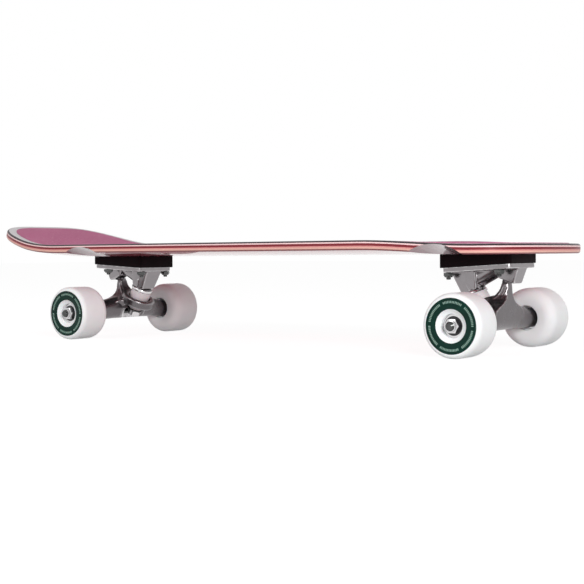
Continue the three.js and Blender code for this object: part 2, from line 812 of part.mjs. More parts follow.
// The axle carries both inner speed washers as collars.
function makeAxle() {
  const chamfer = washerThickness / 2;
  const washerEnd = innerWasherStart + washerThickness;
  const half = [
    [axleRadius, innerWasherStart],
    [washerRadius, innerWasherStart],
    [washerRadius, washerEnd],
    [axleRadius, washerEnd],
    [axleRadius, axleEnd - chamfer],
    [axleRadius - chamfer, axleEnd],
    [0, axleEnd],
  ];
  const mirrored = half.map(([radius, y]) => [radius, -y]).reverse();
  return alongAxle(turned([...mirrored, ...half], bearingSides));
}

function makeBearing(start) {
  return alongAxle(ring(axleRadius + fitGap, bearingRadius, start, start + bearingWidth, bearingSides));
}

function makeSpacer() {
  const end = spacerStart + spacerLength;
  return alongAxle(ring(axleRadius + fitGap, spacerRadius, spacerStart, end, bearingSides));
}

// The axle nut carries the outer speed washer as a flange.
function makeAxleNut() {
  const washerEnd = axleNutStart + washerThickness;
  const hexEnd = axleNutEnd - axleNutCollar;
  const bore = disc(axleRadius + fitGap, axleNutStart - cutOverrun, axleEnd, bearingSides);
  return alongAxle(shaped([
    disc(washerRadius, axleNutStart, washerEnd, bearingSides),
    hexagon(axleNutFlats, washerEnd, hexEnd),
    disc(axleNutFlats * axleNutCollarShare, hexEnd, axleNutEnd, bearingSides),
  ], [bore]));
}

function makeWheel() {
  const seat = bearingRadius + fitGap;
  const quarter = Math.PI / 2;
  const lip = [];
  const back = [];
  for (let k = 0; k <= edgeSteps; k += 1) {
    const turn = quarter * k / edgeSteps;
    lip.push([
      wheelFaceRadius + (wheelRadius - wheelFaceRadius) * Math.cos(turn),
      wheelFace - wheelLipDepth * (1 - Math.sin(turn)),
    ]);
    back.push([
      wheelBackRadius + (wheelRadius - wheelBackRadius) * Math.sin(turn),
      wheelBack + wheelBackDepth * (1 - Math.cos(turn)),
    ]);
  }
  const profile = [
    ...back,
    ...lip,
    [wheelDishRadius, wheelFace],
    [seat, wheelFace - wheelDishDepth],
    [seat, outerBearingStart - stackGap],
    [wheelHubRadius, outerBearingStart - stackGap],
    [wheelHubRadius, spacerStart],
    [seat, spacerStart],
    [seat, innerWasherStart],
    [wheelBackDishRadius, wheelBack + wheelBackDishDepth],
  ];
  const trueFlat = 1 / Math.cos(Math.PI / wheelSides);
  const wide = profile.map(([radius, y]) => [radius * trueFlat, y]);
  return alongAxle(turned(wide, wheelSides, true).rotateZ(Math.PI / wheelSides));
}

function plateUnderside(x) {
  return plateTop + wedgeRise(x) - plateThickness / Math.cos(wedgeAngle);
}

// Height of a lock nut's upper face, clear of the sloping flange above it
function lockNutTop(x) {
  const corner = lockNutFlats / 2 / Math.cos(Math.PI / hexSides);
  return plateUnderside(x) - corner * Math.tan(wedgeAngle) - stackGap;
}

function makeBolt(x, y) {
  const tip = lockNutTop(x) - lockNutHeight - lockNutCollar - boltTipReach;
  return turned([
    [0, tip],
    [boltRadius, tip],
    [boltRadius, deckTop - boltHeadDepth],
    [boltHeadRadius, deckTop],
    [boltHeadRadius, boltHeadTop],
    [0, boltHeadTop],
  ], boltSides).translate(x, y, 0);
}

function makeLockNut(x, y) {
  const top = lockNutTop(x);
  const hexLow = top - lockNutHeight;
  const low = hexLow - lockNutCollar;
  const bore = disc(boltRadius + fitGap, low - cutOverrun, top + cutOverrun, boltSides);
  return shaped([
    hexagon(lockNutFlats, hexLow, top),
    disc(lockNutCollarRadius, low, hexLow, boltSides),
  ], [bore]).translate(x, y, 0);
}

// Makes a named mesh in one finish.
function piece(name, geometry, finish) {
  const welded = weld(geometry);
  welded.computeVertexNormals();
  const mesh = new THREE.Mesh(welded, new THREE.MeshStandardMaterial(finishes[finish]));
  mesh.name = name;
  return mesh;
}

function wheelSet(end, side, word) {
  const group = new THREE.Group();
  const name = (part) => `${end}_${word}_${part}`;
  const parts = [
    ['wheel', makeWheel(), 'wheel'],
    ['inner_bearing', makeBearing(innerBearingStart), 'steel'],
    ['outer_bearing', makeBearing(outerBearingStart), 'steel'],
    ['bearing_spacer', makeSpacer(), 'steel'],
    ['axle_nut', makeAxleNut(), 'steel'],
  ];
  for (const [part, geometry, finish] of parts) group.add(piece(name(part), geometry, finish));
  if (side < 0) group.rotation.z = Math.PI;
  return group;
}

function boltSet(end, facing) {
  const group = new THREE.Group();
  for (const x of boltXs) {
    for (const y of boltYs) {
      const row = x < 0 ? 'inner' : 'outer';
      const side = y * facing > 0 ? 'left' : 'right';
      group.add(piece(`${end}_${row}_${side}_bolt`, makeBolt(x, y), 'steel'));
      group.add(piece(`${end}_${row}_${side}_lock_nut`, makeLockNut(x, y), 'nylon'));
    }
  }
  return group;
}

function truck(end, facing) {
  const group = new THREE.Group();
  const parts = [
    ['riser', makeRiser(), 'riser'],
    ['baseplate', makeBaseplate(), 'cast'],
    ['pivot_cup', makePivotCup(), 'cup'],
    ['kingpin', makeKingpin(), 'steel'],
    ['kingpin_nut', makeKingpinNut(), 'steel'],
    ['upper_washer', makeSeatWasher(), 'steel'],
    ['upper_bushing', makeUpperBushing(), 'bushing'],
    ['lower_bushing', makeLowerBushing(), 'bushing'],
    ['lower_washer', makeFootWasher(), 'steel'],
    ['hanger', makeHanger(), 'cast'],
    ['axle', makeAxle(), 'steel'],
  ];
  for (const [part, geometry, finish] of parts) group.add(piece(`${end}_${part}`, geometry, finish));
  group.add(boltSet(end, facing));
  for (const side of [1, -1]) group.add(wheelSet(end, side, side * facing > 0 ? 'left' : 'right'));
  group.position.x = facing * axleSpacing / 2;
  if (facing < 0) group.rotation.z = Math.PI;
  return group;
}

function assemble() {
  const board = new THREE.Group();
  board.add(piece('deck', makeDeck(), 'maple'));
  board.add(piece('grip_sheet', makeGrip(), 'grip'));
  board.add(truck('front', 1));
  board.add(truck('rear', -1));
  const bounds = new THREE.Box3().setFromObject(board);
  board.position.x = -(bounds.min.x + bounds.max.x) / 2;
  return board;
}

export default assemble();
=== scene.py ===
import math

import bmesh
import bpy
from mathutils import Matrix, Vector


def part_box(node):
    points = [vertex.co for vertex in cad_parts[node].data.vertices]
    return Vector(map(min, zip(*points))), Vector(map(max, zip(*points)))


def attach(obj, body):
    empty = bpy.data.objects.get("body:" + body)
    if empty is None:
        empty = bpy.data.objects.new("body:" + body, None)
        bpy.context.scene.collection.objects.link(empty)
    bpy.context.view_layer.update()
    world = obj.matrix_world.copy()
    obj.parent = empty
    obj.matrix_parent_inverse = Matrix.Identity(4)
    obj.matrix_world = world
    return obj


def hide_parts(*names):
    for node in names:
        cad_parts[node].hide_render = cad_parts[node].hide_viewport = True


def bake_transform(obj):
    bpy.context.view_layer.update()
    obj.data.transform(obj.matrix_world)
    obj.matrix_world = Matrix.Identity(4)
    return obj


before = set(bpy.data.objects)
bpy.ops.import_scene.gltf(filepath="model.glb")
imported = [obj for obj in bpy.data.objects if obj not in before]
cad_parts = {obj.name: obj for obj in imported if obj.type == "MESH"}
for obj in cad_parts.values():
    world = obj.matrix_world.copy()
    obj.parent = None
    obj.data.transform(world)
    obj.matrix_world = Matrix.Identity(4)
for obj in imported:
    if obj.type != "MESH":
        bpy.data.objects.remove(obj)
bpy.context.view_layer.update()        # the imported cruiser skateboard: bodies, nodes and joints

mm = 0.001               # pieces are drawn in millimetres and scaled once, when they are finished
fullTurn = 2 * math.pi


def nodeMiddle(node):
    low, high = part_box(node)
    return (low + high) / 2 / mm


# Places read from the frame, in millimetres
frontAxle = nodeMiddle("front_axle")
rearAxle = nodeMiddle("rear_axle")
boardMiddle = (frontAxle.x + rearAxle.x) / 2
axleSpacing = frontAxle.x - rearAxle.x
axleHeight = frontAxle.z
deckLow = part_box("deck")[0].z / mm
ends = ("front", "rear")
sides = {"left": 1, "right": -1}
axleAt = {"front": frontAxle.x, "rear": rearAxle.x}
facing = {"front": 1, "rear": -1}


def truckPlace(end):
    turn = 0 if facing[end] > 0 else math.pi
    return Matrix.Translation((axleAt[end], 0, 0)) @ Matrix.Rotation(turn, 4, "Z")


# The kingpin leans back from the axle; the steering axis runs from the yoke to the pivot
kingpinLean = math.radians(26)
kingpinSetback = 11.85
kingpinPlace = Matrix.Translation((
    -kingpinSetback * math.cos(kingpinLean),
    0,
    axleHeight - kingpinSetback * math.sin(kingpinLean),
)) @ Matrix.Rotation(-kingpinLean, 4, "Y")
yokeMiddle = 18.15
steerPlace = (Matrix.Translation(kingpinPlace @ Vector((0, 0, yokeMiddle)))
              @ Matrix.Rotation(math.pi / 4, 4, "Y"))


# Shape helpers
def addSpun(profile, steps, closed=False):
    bm = bmesh.new()
    verts = [bm.verts.new((radius, 0, height)) for radius, height in profile]
    pairs = list(zip(verts, verts[1:]))
    if closed:
        pairs.append((verts[-1], verts[0]))
    edges = [bm.edges.new(pair) for pair in pairs]
    bmesh.ops.spin(bm, geom=verts + edges, cent=(0, 0, 0), axis=(0, 0, 1), angle=fullTurn,
                   steps=steps, use_merge=True)
    bmesh.ops.remove_doubles(bm, verts=bm.verts, dist=1e-4)
    bmesh.ops.recalc_face_normals(bm, faces=bm.faces)
    return bm


def rod(radius, low, high, steps=48, chamfer=0.0):
    if chamfer:
        profile = [(0, low), (radius - chamfer, low), (radius, low + chamfer),
                   (radius, high - chamfer), (radius - chamfer, high), (0, high)]
    else:
        profile = [(0, low), (radius, low), (radius, high), (0, high)]
    return addSpun(profile, steps)


def block(low, high, bevel=0.0, segments=3):
    bm = bmesh.new()
    size = Vector(high) - Vector(low)
    middle = (Vector(high) + Vector(low)) / 2
    place = Matrix.Translation(middle) @ Matrix.Diagonal((*size, 1))
    bmesh.ops.create_cube(bm, size=1, matrix=place)
    if bevel:
        bevelEdges(bm, bm.edges, bevel, segments)
    return bm


def bevelEdges(bm, edges, offset, segments, clamp=True):
    bmesh.ops.bevel(bm, geom=list(edges), offset=offset, offset_type="OFFSET", segments=segments,
                    profile=0.5, affect="EDGES", material=-1, clamp_overlap=clamp)


def lofted(rings):
    bm = bmesh.new()
    loops = []
    for ring in rings:
        verts = [bm.verts.new(point) for point in ring]
        edges = [bm.edges.new((verts[i - 1], verts[i])) for i in range(len(verts))]
        loops.append((verts, edges))
    for (_, near), (_, far) in zip(loops, loops[1:]):
        bmesh.ops.bridge_loops(bm, edges=near + far)
    bm.faces.new(loops[0][0])
    bm.faces.new(loops[-1][0])
    bmesh.ops.recalc_face_normals(bm, faces=bm.faces)
    return bm


def moved(bm, place):
    bmesh.ops.transform(bm, matrix=place, verts=bm.verts)
    return bm


def joined(shapes):
    whole = bmesh.new()
    for shape in shapes:
        mesh = bpy.data.meshes.new("part")
        shape.to_mesh(mesh)
        shape.free()
        whole.from_mesh(mesh)
        bpy.data.meshes.remove(mesh)
    return whole


def addObject(name, data):
    obj = bpy.data.objects.new(name, data)
    bpy.context.scene.collection.objects.link(obj)
    return obj


# A cut keeps the numbers of materials only where both objects have as many slots as the deck
deckMaterials = 3


def workObject(bm):
    mesh = bpy.data.meshes.new("work")
    for _ in range(deckMaterials):
        mesh.materials.append(None)
    bm.to_mesh(mesh)
    bm.free()
    return addObject("work", mesh)


def evaluated(obj, *helpers):
    view = bpy.context.evaluated_depsgraph_get()
    final = obj.evaluated_get(view)
    bm = bmesh.new()
    bm.from_mesh(final.to_mesh())
    final.to_mesh_clear()
    for used in (obj, *helpers):
        mesh = used.data
        bpy.data.objects.remove(used)
        bpy.data.meshes.remove(mesh)
    return bm


def carved(bm, tool, operation="DIFFERENCE"):
    base = workObject(bm)
    cutter = workObject(tool)
    cut = base.modifiers.new("cut", "BOOLEAN")
    cut.operation = operation
    cut.solver = "EXACT"
    cut.object = cutter
    return evaluated(base, cutter)


def carvedBy(bm, *tools):
    for tool in tools:
        bm = carved(bm, tool)
    return bm


# Overlapping shapes become one skin with soft inner corners, as sand casting leaves them
def castTogether(shapes, voxel, softening):
    obj = workObject(joined(shapes))
    fuse = obj.modifiers.new("fuse", "REMESH")
    fuse.mode = "VOXEL"
    fuse.voxel_size = voxel
    soften = obj.modifiers.new("soften", "SMOOTH")
    soften.factor = 0.5
    soften.iterations = softening
    return evaluated(obj)


def markSharp(bm, angle):
    limit = math.radians(angle)
    for face in bm.faces:
        face.smooth = True
    for edge in bm.edges:
        edge.smooth = len(edge.link_faces) == 2 and edge.calc_face_angle(0) < limit


# A piece given a bend is attached to no body: its place is baked into its mesh, and the bend's body and
# points are not read
def makePiece(name, bm, body, materials, replaced=(), place=None, sharpAngle=32, bend=None):
    bmesh.ops.remove_doubles(bm, verts=bm.verts, dist=1e-4)
    scaled = Matrix.Scale(mm, 4) @ (place or Matrix.Identity(4))
    moved(bm, scaled)
    markSharp(bm, sharpAngle)
    mesh = bpy.data.meshes.new(name)
    for material in materials:
        mesh.materials.append(material)
    bm.to_mesh(mesh)
    bm.free()
    obj = addObject(name, mesh)
    if bend:
        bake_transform(obj)
    else:
        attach(obj, body)
    if replaced:
        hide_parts(*replaced)
    return obj


def evenShading(obj):
    weighting = obj.modifiers.new("evenShading", "WEIGHTED_NORMAL")
    weighting.keep_sharp = True
    return obj


# A closed ridge wound round a rod: its first and last faces stay as caps
def threadRidge(radius, low, high, pitch, depth, stepsPerTurn=24):
    bm = bmesh.new()
    half = pitch * 0.42      # just under half a turn's height, so that neighbouring turns stay apart
    corners = [(radius - depth, 0, low), (radius - depth, 0, low + 2 * half), (radius + depth, 0, low + half)]
    face = bm.faces.new([bm.verts.new(corner) for corner in corners])
    turns = (high - low - 2 * half) / pitch
    steps = max(3, round(turns * stepsPerTurn))
    bmesh.ops.spin(bm, geom=[face], cent=(0, 0, 0), axis=(0, 0, 1), angle=fullTurn * turns,
                   steps=steps, dvec=(0, 0, turns * pitch / steps))
    bmesh.ops.recalc_face_normals(bm, faces=bm.faces)
    return bm


# A hexagon nut between two heights, its corners turned down to a chamfer at both ends
def hexNut(flats, low, high, bore, chamfer):
    corner = flats / 2 / math.cos(math.pi / 6)
    endRadius = flats / 2 * 0.97
    clearRadius = corner * 1.02
    bm = bmesh.new()
    place = Matrix.Translation((0, 0, (low + high) / 2)) @ Matrix.Rotation(math.pi / 6, 4, "Z")
    bmesh.ops.create_cone(bm, cap_ends=True, segments=6, radius1=corner, radius2=corner,
                          depth=high - low, matrix=place)
    turning = addSpun([(0, low), (endRadius, low), (clearRadius, low + chamfer),
                       (clearRadius, high - chamfer), (endRadius, high), (0, high)], 48)
    return carved(carved(bm, turning, "INTERSECT"), rod(bore, low - 1, high + 1))


def washer(inner, outer, low, high, chamfer, steps):
    return addSpun([(inner, low), (outer - chamfer, low), (outer, low + chamfer),
                    (outer, high - chamfer), (outer - chamfer, high), (inner, high)], steps, closed=True)


# Colours are given as the eye reads them, 0 to 255
def tint(red, green, blue):
    def linear(value):
        share = value / 255
        return share / 12.92 if share <= 0.04045 else ((share + 0.055) / 1.055) ** 2.4
    return (linear(red), linear(green), linear(blue), 1)


# A socket takes a constant, or a link from another node's output
def fillSockets(node, values):
    for key, value in values.items():
        if isinstance(value, bpy.types.NodeSocket):
            node.id_data.links.new(value, node.inputs[key])
        else:
            node.inputs[key].default_value = value


def addNode(tree, kind, sockets=None, **values):
    node = tree.nodes.new(kind)
    for key, value in values.items():
        setattr(node, key, value)
    fillSockets(node, sockets or {})
    return node


def calc(tree, operation, *values):
    return addNode(tree, "ShaderNodeMath", dict(enumerate(values)), operation=operation).outputs[0]


def between(tree, value, low, high):
    above, below = calc(tree, "GREATER_THAN", value, low), calc(tree, "LESS_THAN", value, high)
    return calc(tree, "MULTIPLY", above, below)


def objectPlace(tree):
    return addNode(tree, "ShaderNodeTexCoord").outputs["Object"]


def addNoise(tree, sockets):
    return addNode(tree, "ShaderNodeTexNoise", sockets).outputs["Fac"]


def newGroup(name, inputs, outputs):
    group = bpy.data.node_groups.new(name, "ShaderNodeTree")
    for socketName, value in inputs.items():
        socket = group.interface.new_socket(name=socketName, in_out="INPUT", socket_type="NodeSocketFloat")
        socket.default_value = value
    for socketName in outputs:
        group.interface.new_socket(name=socketName, in_out="OUTPUT", socket_type="NodeSocketFloat")
    return group, addNode(group, "NodeGroupInput").outputs, addNode(group, "NodeGroupOutput")


def placeGroup(tree, group, values):
    return addNode(tree, "ShaderNodeGroup", values, node_tree=group).outputs


# Fine speckle and broad cloudiness: a value about 0.5, for roughness, colour and bump
def makeMottle():
    group, given, out = newGroup("mottle", {"Fine Scale": 900.0, "Broad Scale": 60.0, "Broad Share": 0.5},
                                 ("Fine", "Broad", "Mix"))
    place = objectPlace(group)
    fine = addNoise(group, {"Vector": place, "Scale": given["Fine Scale"], "Detail": 3.0, "Roughness": 0.6})
    broad = addNoise(group, {"Vector": place, "Scale": given["Broad Scale"], "Detail": 2.0, "Roughness": 0.5})
    blend = addNode(group, "ShaderNodeMix", {0: given["Broad Share"], 2: fine, 3: broad}, data_type="FLOAT")
    fillSockets(out, {"Fine": fine, "Broad": broad, "Mix": blend.outputs[0]})
    return group


# Long wood fibres along the board: streaks for colour and a height for bump
def makeGrain():
    group, given, out = newGroup("grain", {"Across Scale": 500.0, "Stretch": 40.0}, ("Streak", "Pore"))
    squeeze = addNode(group, "ShaderNodeCombineXYZ", {
        "X": calc(group, "DIVIDE", 1.0, given["Stretch"]), "Y": 1.0, "Z": 1.0})
    stretched = addNode(group, "ShaderNodeVectorMath", {0: objectPlace(group), 1: squeeze.outputs[0]},
                        operation="MULTIPLY").outputs[0]
    streak = addNoise(group, {"Vector": stretched, "Scale": given["Across Scale"], "Detail": 4.0,
                              "Roughness": 0.62, "Distortion": 0.3})
    pore = addNoise(group, {"Vector": stretched, "Scale": calc(group, "MULTIPLY", given["Across Scale"], 3.0),
                            "Detail": 2.0})
    fillSockets(out, {"Streak": streak, "Pore": pore})
    return group


# Bare or rubbed edges with painted highlights: where the surface turns sharply outwards, one mask brightens
# the colour for both
def makeEdgeWearAndHighlight():
    group, given, out = newGroup("edgeWearAndHighlight", {"Low": 0.52, "High": 0.6, "Breakup Scale": 300.0}, ("Mask",))
    sharpness = addNode(group, "ShaderNodeNewGeometry").outputs["Pointiness"]
    breakup = addNoise(group, {"Vector": objectPlace(group), "Scale": given["Breakup Scale"]})
    ramp = addNode(group, "ShaderNodeMapRange", {
        "Value": sharpness, "From Min": given["Low"], "From Max": given["High"]})
    fillSockets(out, {"Mask": calc(group, "MULTIPLY", ramp.outputs[0], breakup)})
    return group


mottle = makeMottle()
grain = makeGrain()
edgeWearAndHighlight = makeEdgeWearAndHighlight()


def clouds(tree, fine, broad, share):
    return placeGroup(tree, mottle, {"Fine Scale": fine, "Broad Scale": broad, "Broad Share": share})


def newMaterial(name, **values):
    material = bpy.data.materials.new(name)
    material.use_nodes = True
    shader = material.node_tree.nodes["Principled BSDF"]
    fillSockets(shader, values)
    return material, material.node_tree, shader


def spread(tree, source, low, high):
    return addNode(tree, "ShaderNodeMapRange", {
        "Value": source, "From Min": 0.3, "From Max": 0.7, "To Min": low, "To Max": high}).outputs[0]


def mixed(tree, factor, first, second):
    return addNode(tree, "ShaderNodeMix", {0: factor, 6: first, 7: second}, data_type="RGBA").outputs[2]


def dress(shader, colour, roughness, height, distance, strength):
    bump = addNode(shader.id_data, "ShaderNodeBump", {
        "Height": height, "Distance": distance, "Strength": strength})
    fillSockets(shader, {"Base Color": colour, "Roughness": roughness, "Normal": bump.outputs[0]})


# Maple plies, read from the height below the top face that each point of the deck keeps
plyLook = {
    "thickness": 9.6,
    "topPaint": tint(214, 210, 212),
    "darkPly": tint(44, 40, 45),
    "creamPly": tint(252, 216, 216),
    "redPly": tint(124, 34, 44),
    "salmonPly": tint(224, 150, 146),
    "peachPly": tint(238, 188, 174),
    "lowPly": tint(146, 84, 88),
    "stain": tint(234, 70, 106),
    "stainDeep": tint(206, 52, 88),
    # The wheel wells carry a darker copy of the underside stain: painted shade in the recess
    "wellStainShaded": tint(132, 48, 76),
    "wellDeepShaded": tint(96, 30, 52),
    "bands": [
        (0.12, "topPaint"), (2, "darkPly"), (3.3, "creamPly"), (5.6, "redPly"), (6.8, "salmonPly"),
        (8.4, "peachPly"), (9.56, "lowPly"), (9.6, "stain"),
    ],
    "edgeShares": (0.03, 0.98),
}


def makePlyMaterial():
    material, tree, shader = newMaterial("maplePlies", **{
        "Specular IOR Level": 0.25, "Coat Weight": 0.05, "Coat Roughness": 0.2})
    height = addNode(tree, "ShaderNodeAttribute", attribute_name="plyHeight").outputs["Fac"]
    wood = placeGroup(tree, grain, {"Across Scale": 900.0, "Stretch": 60.0})
    share = calc(tree, "DIVIDE", height, plyLook["thickness"])
    shift = calc(tree, "MULTIPLY", between(tree, share, *plyLook["edgeShares"]),
                 spread(tree, wood["Streak"], -0.004, 0.004))
    ramp = addNode(tree, "ShaderNodeValToRGB", {"Fac": calc(tree, "ADD", share, shift)})
    stops = ramp.color_ramp
    stops.interpolation = "CONSTANT"
    bands = plyLook["bands"]
    while len(stops.elements) < len(bands):
        stops.elements.new(0.5)
    starts = [0.0] + [limit / plyLook["thickness"] for limit, _ in bands[:-1]]
    for element, start, (_, name) in zip(stops.elements, starts, bands):
        element.position = start
        element.color = plyLook[name]
    colour = mixed(tree, spread(tree, wood["Streak"], 0.0, 0.1), ramp.outputs["Color"], plyLook["redPly"])
    dress(shader, colour, spread(tree, wood["Pore"], 0.32, 0.5), wood["Pore"], 0.00006, 0.5)
    return material


def makeStainMaterial(name, light, deep, gloss):
    material, tree, shader = newMaterial(name, **{
        "Coat Weight": 1.0, "Coat Roughness": gloss, "Coat IOR": 1.7})
    wood = placeGroup(tree, grain, {"Across Scale": 420.0, "Stretch": 30.0})
    cloud = clouds(tree, 1500.0, 30.0, 0.6)
    streaked = mixed(tree, spread(tree, wood["Streak"], 0.0, 0.9), light, deep)
    colour = mixed(tree, spread(tree, cloud["Broad"], 0.0, 0.12), streaked, plyLook["lowPly"])
    dress(shader, colour, spread(tree, wood["Pore"], 0.3, 0.45), wood["Pore"], 0.00001, 0.3)
    return material


gripLook = {
    "colour": tint(204, 114, 152),
    "shadow": tint(170, 88, 122),
    # Painted glints: the colour that random grit grains are lightened towards
    "paintedSparkle": tint(238, 190, 212),
    "grainsPerMetre": 2600.0,
}


def makeGripMaterial():
    material, tree, shader = newMaterial("gritSheet")
    cells = addNode(tree, "ShaderNodeTexVoronoi", {
        "Vector": objectPlace(tree), "Scale": gripLook["grainsPerMetre"]}).outputs
    cloud = clouds(tree, 2200.0, 18.0, 0.5)
    body = mixed(tree, spread(tree, cloud["Mix"], 0.0, 0.5), gripLook["colour"], gripLook["shadow"])
    # Painted glints: a share of the grit cells is lightened towards the sparkle colour
    chance = addNode(tree, "ShaderNodeSeparateColor", {0: cells["Color"]}).outputs[0]
    paintedGlint = addNode(tree, "ShaderNodeMapRange", {"Value": chance, "From Min": 0.8, "To Max": 0.7}).outputs[0]
    colour = mixed(tree, paintedGlint, body, gripLook["paintedSparkle"])
    dress(shader, colour, spread(tree, cloud["Fine"], 0.75, 1.0), cells["Distance"], 0.0003, 0.9)
    return material


# Metals share one recipe: a base tone, a cloudy roughness, a fine bump and bright edges that are partly
# rubbed wear and partly painted highlight
def makeMetal(name, tone, bright, rough, bump, wearAndHighlight, fine=1400.0, cloudy=0.88):
    material, tree, shader = newMaterial(name, Metallic=1.0)
    cloud = clouds(tree, fine, 90.0, 0.45)
    rubbedAndLit = placeGroup(tree, edgeWearAndHighlight, {"Low": 0.51, "High": 0.57, "Breakup Scale": 260.0})
    deep = tuple(value * cloudy for value in tone[:3]) + (1,)
    body = mixed(tree, spread(tree, cloud["Mix"], 0.0, 1.0), tone, deep)
    colour = mixed(tree, calc(tree, "MULTIPLY", rubbedAndLit["Mask"], wearAndHighlight), body, bright)
    dress(shader, colour, spread(tree, cloud["Mix"], *rough), cloud["Fine"], bump, 0.4)
    return material


# Moulded rubbers and plastics: colour with a soft cloud and a fine pebble
def makeMoulded(name, colour, other, rough, bump, **values):
    material, tree, shader = newMaterial(name, **values)
    cloud = clouds(tree, 1800.0, 70.0, 0.6)
    body = mixed(tree, spread(tree, cloud["Mix"], 0.0, 1.0), colour, other)
    dress(shader, body, spread(tree, cloud["Fine"], *rough), cloud["Fine"], bump, 0.5)
    return material


wheelLook = {
    "urethane": tint(245, 247, 248),
    "warm": tint(240, 241, 242),
    "print": tint(0, 48, 38),
    "printDeep": tint(0, 36, 28),
    "ticks": tint(160, 192, 178),
    "printRadii": (15.5, 25.7),
    "tickRadii": (20.8, 22.9),
    "tickCount": 90,
    "tickShares": (0.2, 0.62),
    "groupCount": 6,
    "groupShare": 0.86,
    "uvRadius": 30,
}


# The wheel's face carries a green ring with a plain ring of ticks, drawn in its own UV map
def makeWheelMaterial():
    look = wheelLook
    material, tree, shader = newMaterial("wheelUrethane", **{
        "Specular IOR Level": 0.15, "Subsurface Weight": 0.05, "Subsurface Scale": 0.002})

    def times(first, second):
        return calc(tree, "MULTIPLY", first, second)

    flat = addNode(tree, "ShaderNodeUVMap", uv_map="facePrint").outputs[0]
    centred = addNode(tree, "ShaderNodeMapping", {"Vector": flat, "Location": (-0.5, -0.5, 0)}).outputs[0]
    split = addNode(tree, "ShaderNodeSeparateXYZ", {0: centred}).outputs
    length = addNode(tree, "ShaderNodeVectorMath", {0: centred}, operation="LENGTH").outputs["Value"]
    radius = times(length, 2.0 * look["uvRadius"])
    angle = calc(tree, "ADD", calc(tree, "DIVIDE", calc(tree, "ARCTAN2", split[1], split[0]), fullTurn), 0.5)
    ring = between(tree, radius, *look["printRadii"])
    row = between(tree, radius, *look["tickRadii"])
    stroke = between(tree, calc(tree, "FRACT", times(angle, look["tickCount"])), *look["tickShares"])
    group = calc(tree, "LESS_THAN", calc(tree, "FRACT", times(angle, look["groupCount"])), look["groupShare"])
    cloud = clouds(tree, 1200.0, 80.0, 0.6)
    white = mixed(tree, spread(tree, cloud["Mix"], 0.0, 1.0), look["urethane"], look["warm"])
    green = mixed(tree, spread(tree, cloud["Broad"], 0.0, 1.0), look["print"], look["printDeep"])
    colour = mixed(tree, times(times(stroke, group), row), mixed(tree, ring, white, green), look["ticks"])
    rough = calc(tree, "SUBTRACT", spread(tree, cloud["Fine"], 0.36, 0.5), times(ring, 0.2))
    dress(shader, colour, rough, cloud["Fine"], 0.00003, 0.4)
    return material


plies = makePlyMaterial()
stain = makeStainMaterial("stainedMaple", plyLook["stain"], plyLook["stainDeep"], 0.03)
# Wells: the underside's stain made darker, as painted shade in the recess
wellStainShaded = makeStainMaterial("stainedWellsShaded", plyLook["wellStainShaded"], plyLook["wellDeepShaded"], 0.07)
grit = makeGripMaterial()
wheelUrethane = makeWheelMaterial()
# Bright edge colour: rubbed metal and painted highlight on the edges
rubbedAndHighlitAlloy = tint(246, 245, 246)
castAlloy = makeMetal("castAlloy", tint(146, 142, 144), rubbedAndHighlitAlloy, (0.17, 0.28), 0.00002, 1.6)
hangerAlloy = makeMetal("hangerAlloy", tint(112, 108, 110), rubbedAndHighlitAlloy, (0.24, 0.34), 0.00002, 1.6)
brightSteel = makeMetal("brightSteel", tint(216, 215, 216), tint(244, 244, 244), (0.08, 0.2), 0.00001, 0.1,
                        fine=2600.0)
dullSteel = makeMetal("dullSteel", tint(78, 80, 79), tint(232, 232, 232), (0.1, 0.2), 0.00001, 0.12,
                      cloudy=0.6)
rubber = makeMoulded("riserRubber", tint(20, 15, 17), tint(29, 22, 25), (0.5, 0.7), 0.00004,
                     **{"Specular IOR Level": 0.05})
blackShield = makeMoulded("blackShield", tint(20, 20, 22), tint(34, 33, 36), (0.25, 0.42), 0.00002)
cupRubber = makeMoulded("cupRubber", tint(34, 33, 35), tint(22, 22, 23), (0.5, 0.7), 0.00005)
bushingUrethane = makeMoulded("bushingUrethane", tint(242, 238, 240), tint(230, 224, 227), (0.22, 0.36),
                              0.00001, **{"Subsurface Weight": 0.1, "Subsurface Scale": 0.003})
print("materials ready")


# Deck: a flat outlined slab is bevelled, cut into small cells and bent to the kick and concave
deckShape = {
    "width": 203,
    "thickness": 9.6,
    "edgeRadius": 2.8,
    "edgeSegments": 6,
    "tailTip": -axleSpacing / 2 - 150,
    "noseTip": axleSpacing / 2 + 64,
    "tailTaper": 200,
    "noseTaper": 84,
    "tailPowers": (3.4, 3.9),
    "nosePowers": (3.6, 2.46),
    "tailPoints": 46,
    "nosePoints": 40,
    "tailCrowding": 3.4,
    "noseCrowding": 2.2,
    "cell": 9,
    "kickStart": -axleSpacing / 2 - 10,
    "kickRadius": 250,
    "kickAngle": math.radians(16.5),
    "concaveRise": 4.9,
    "flatHalfWidth": 35.5,
    "fadeLength": 120,
    "noseFadeStart": axleSpacing / 2 - 98,
}
deckTop = deckLow + deckShape["thickness"]


def taperWidth(share, powers):
    lengthPower, widthPower = powers
    return deckShape["width"] / 2 * (1 - (1 - share) ** lengthPower) ** (1 / widthPower)


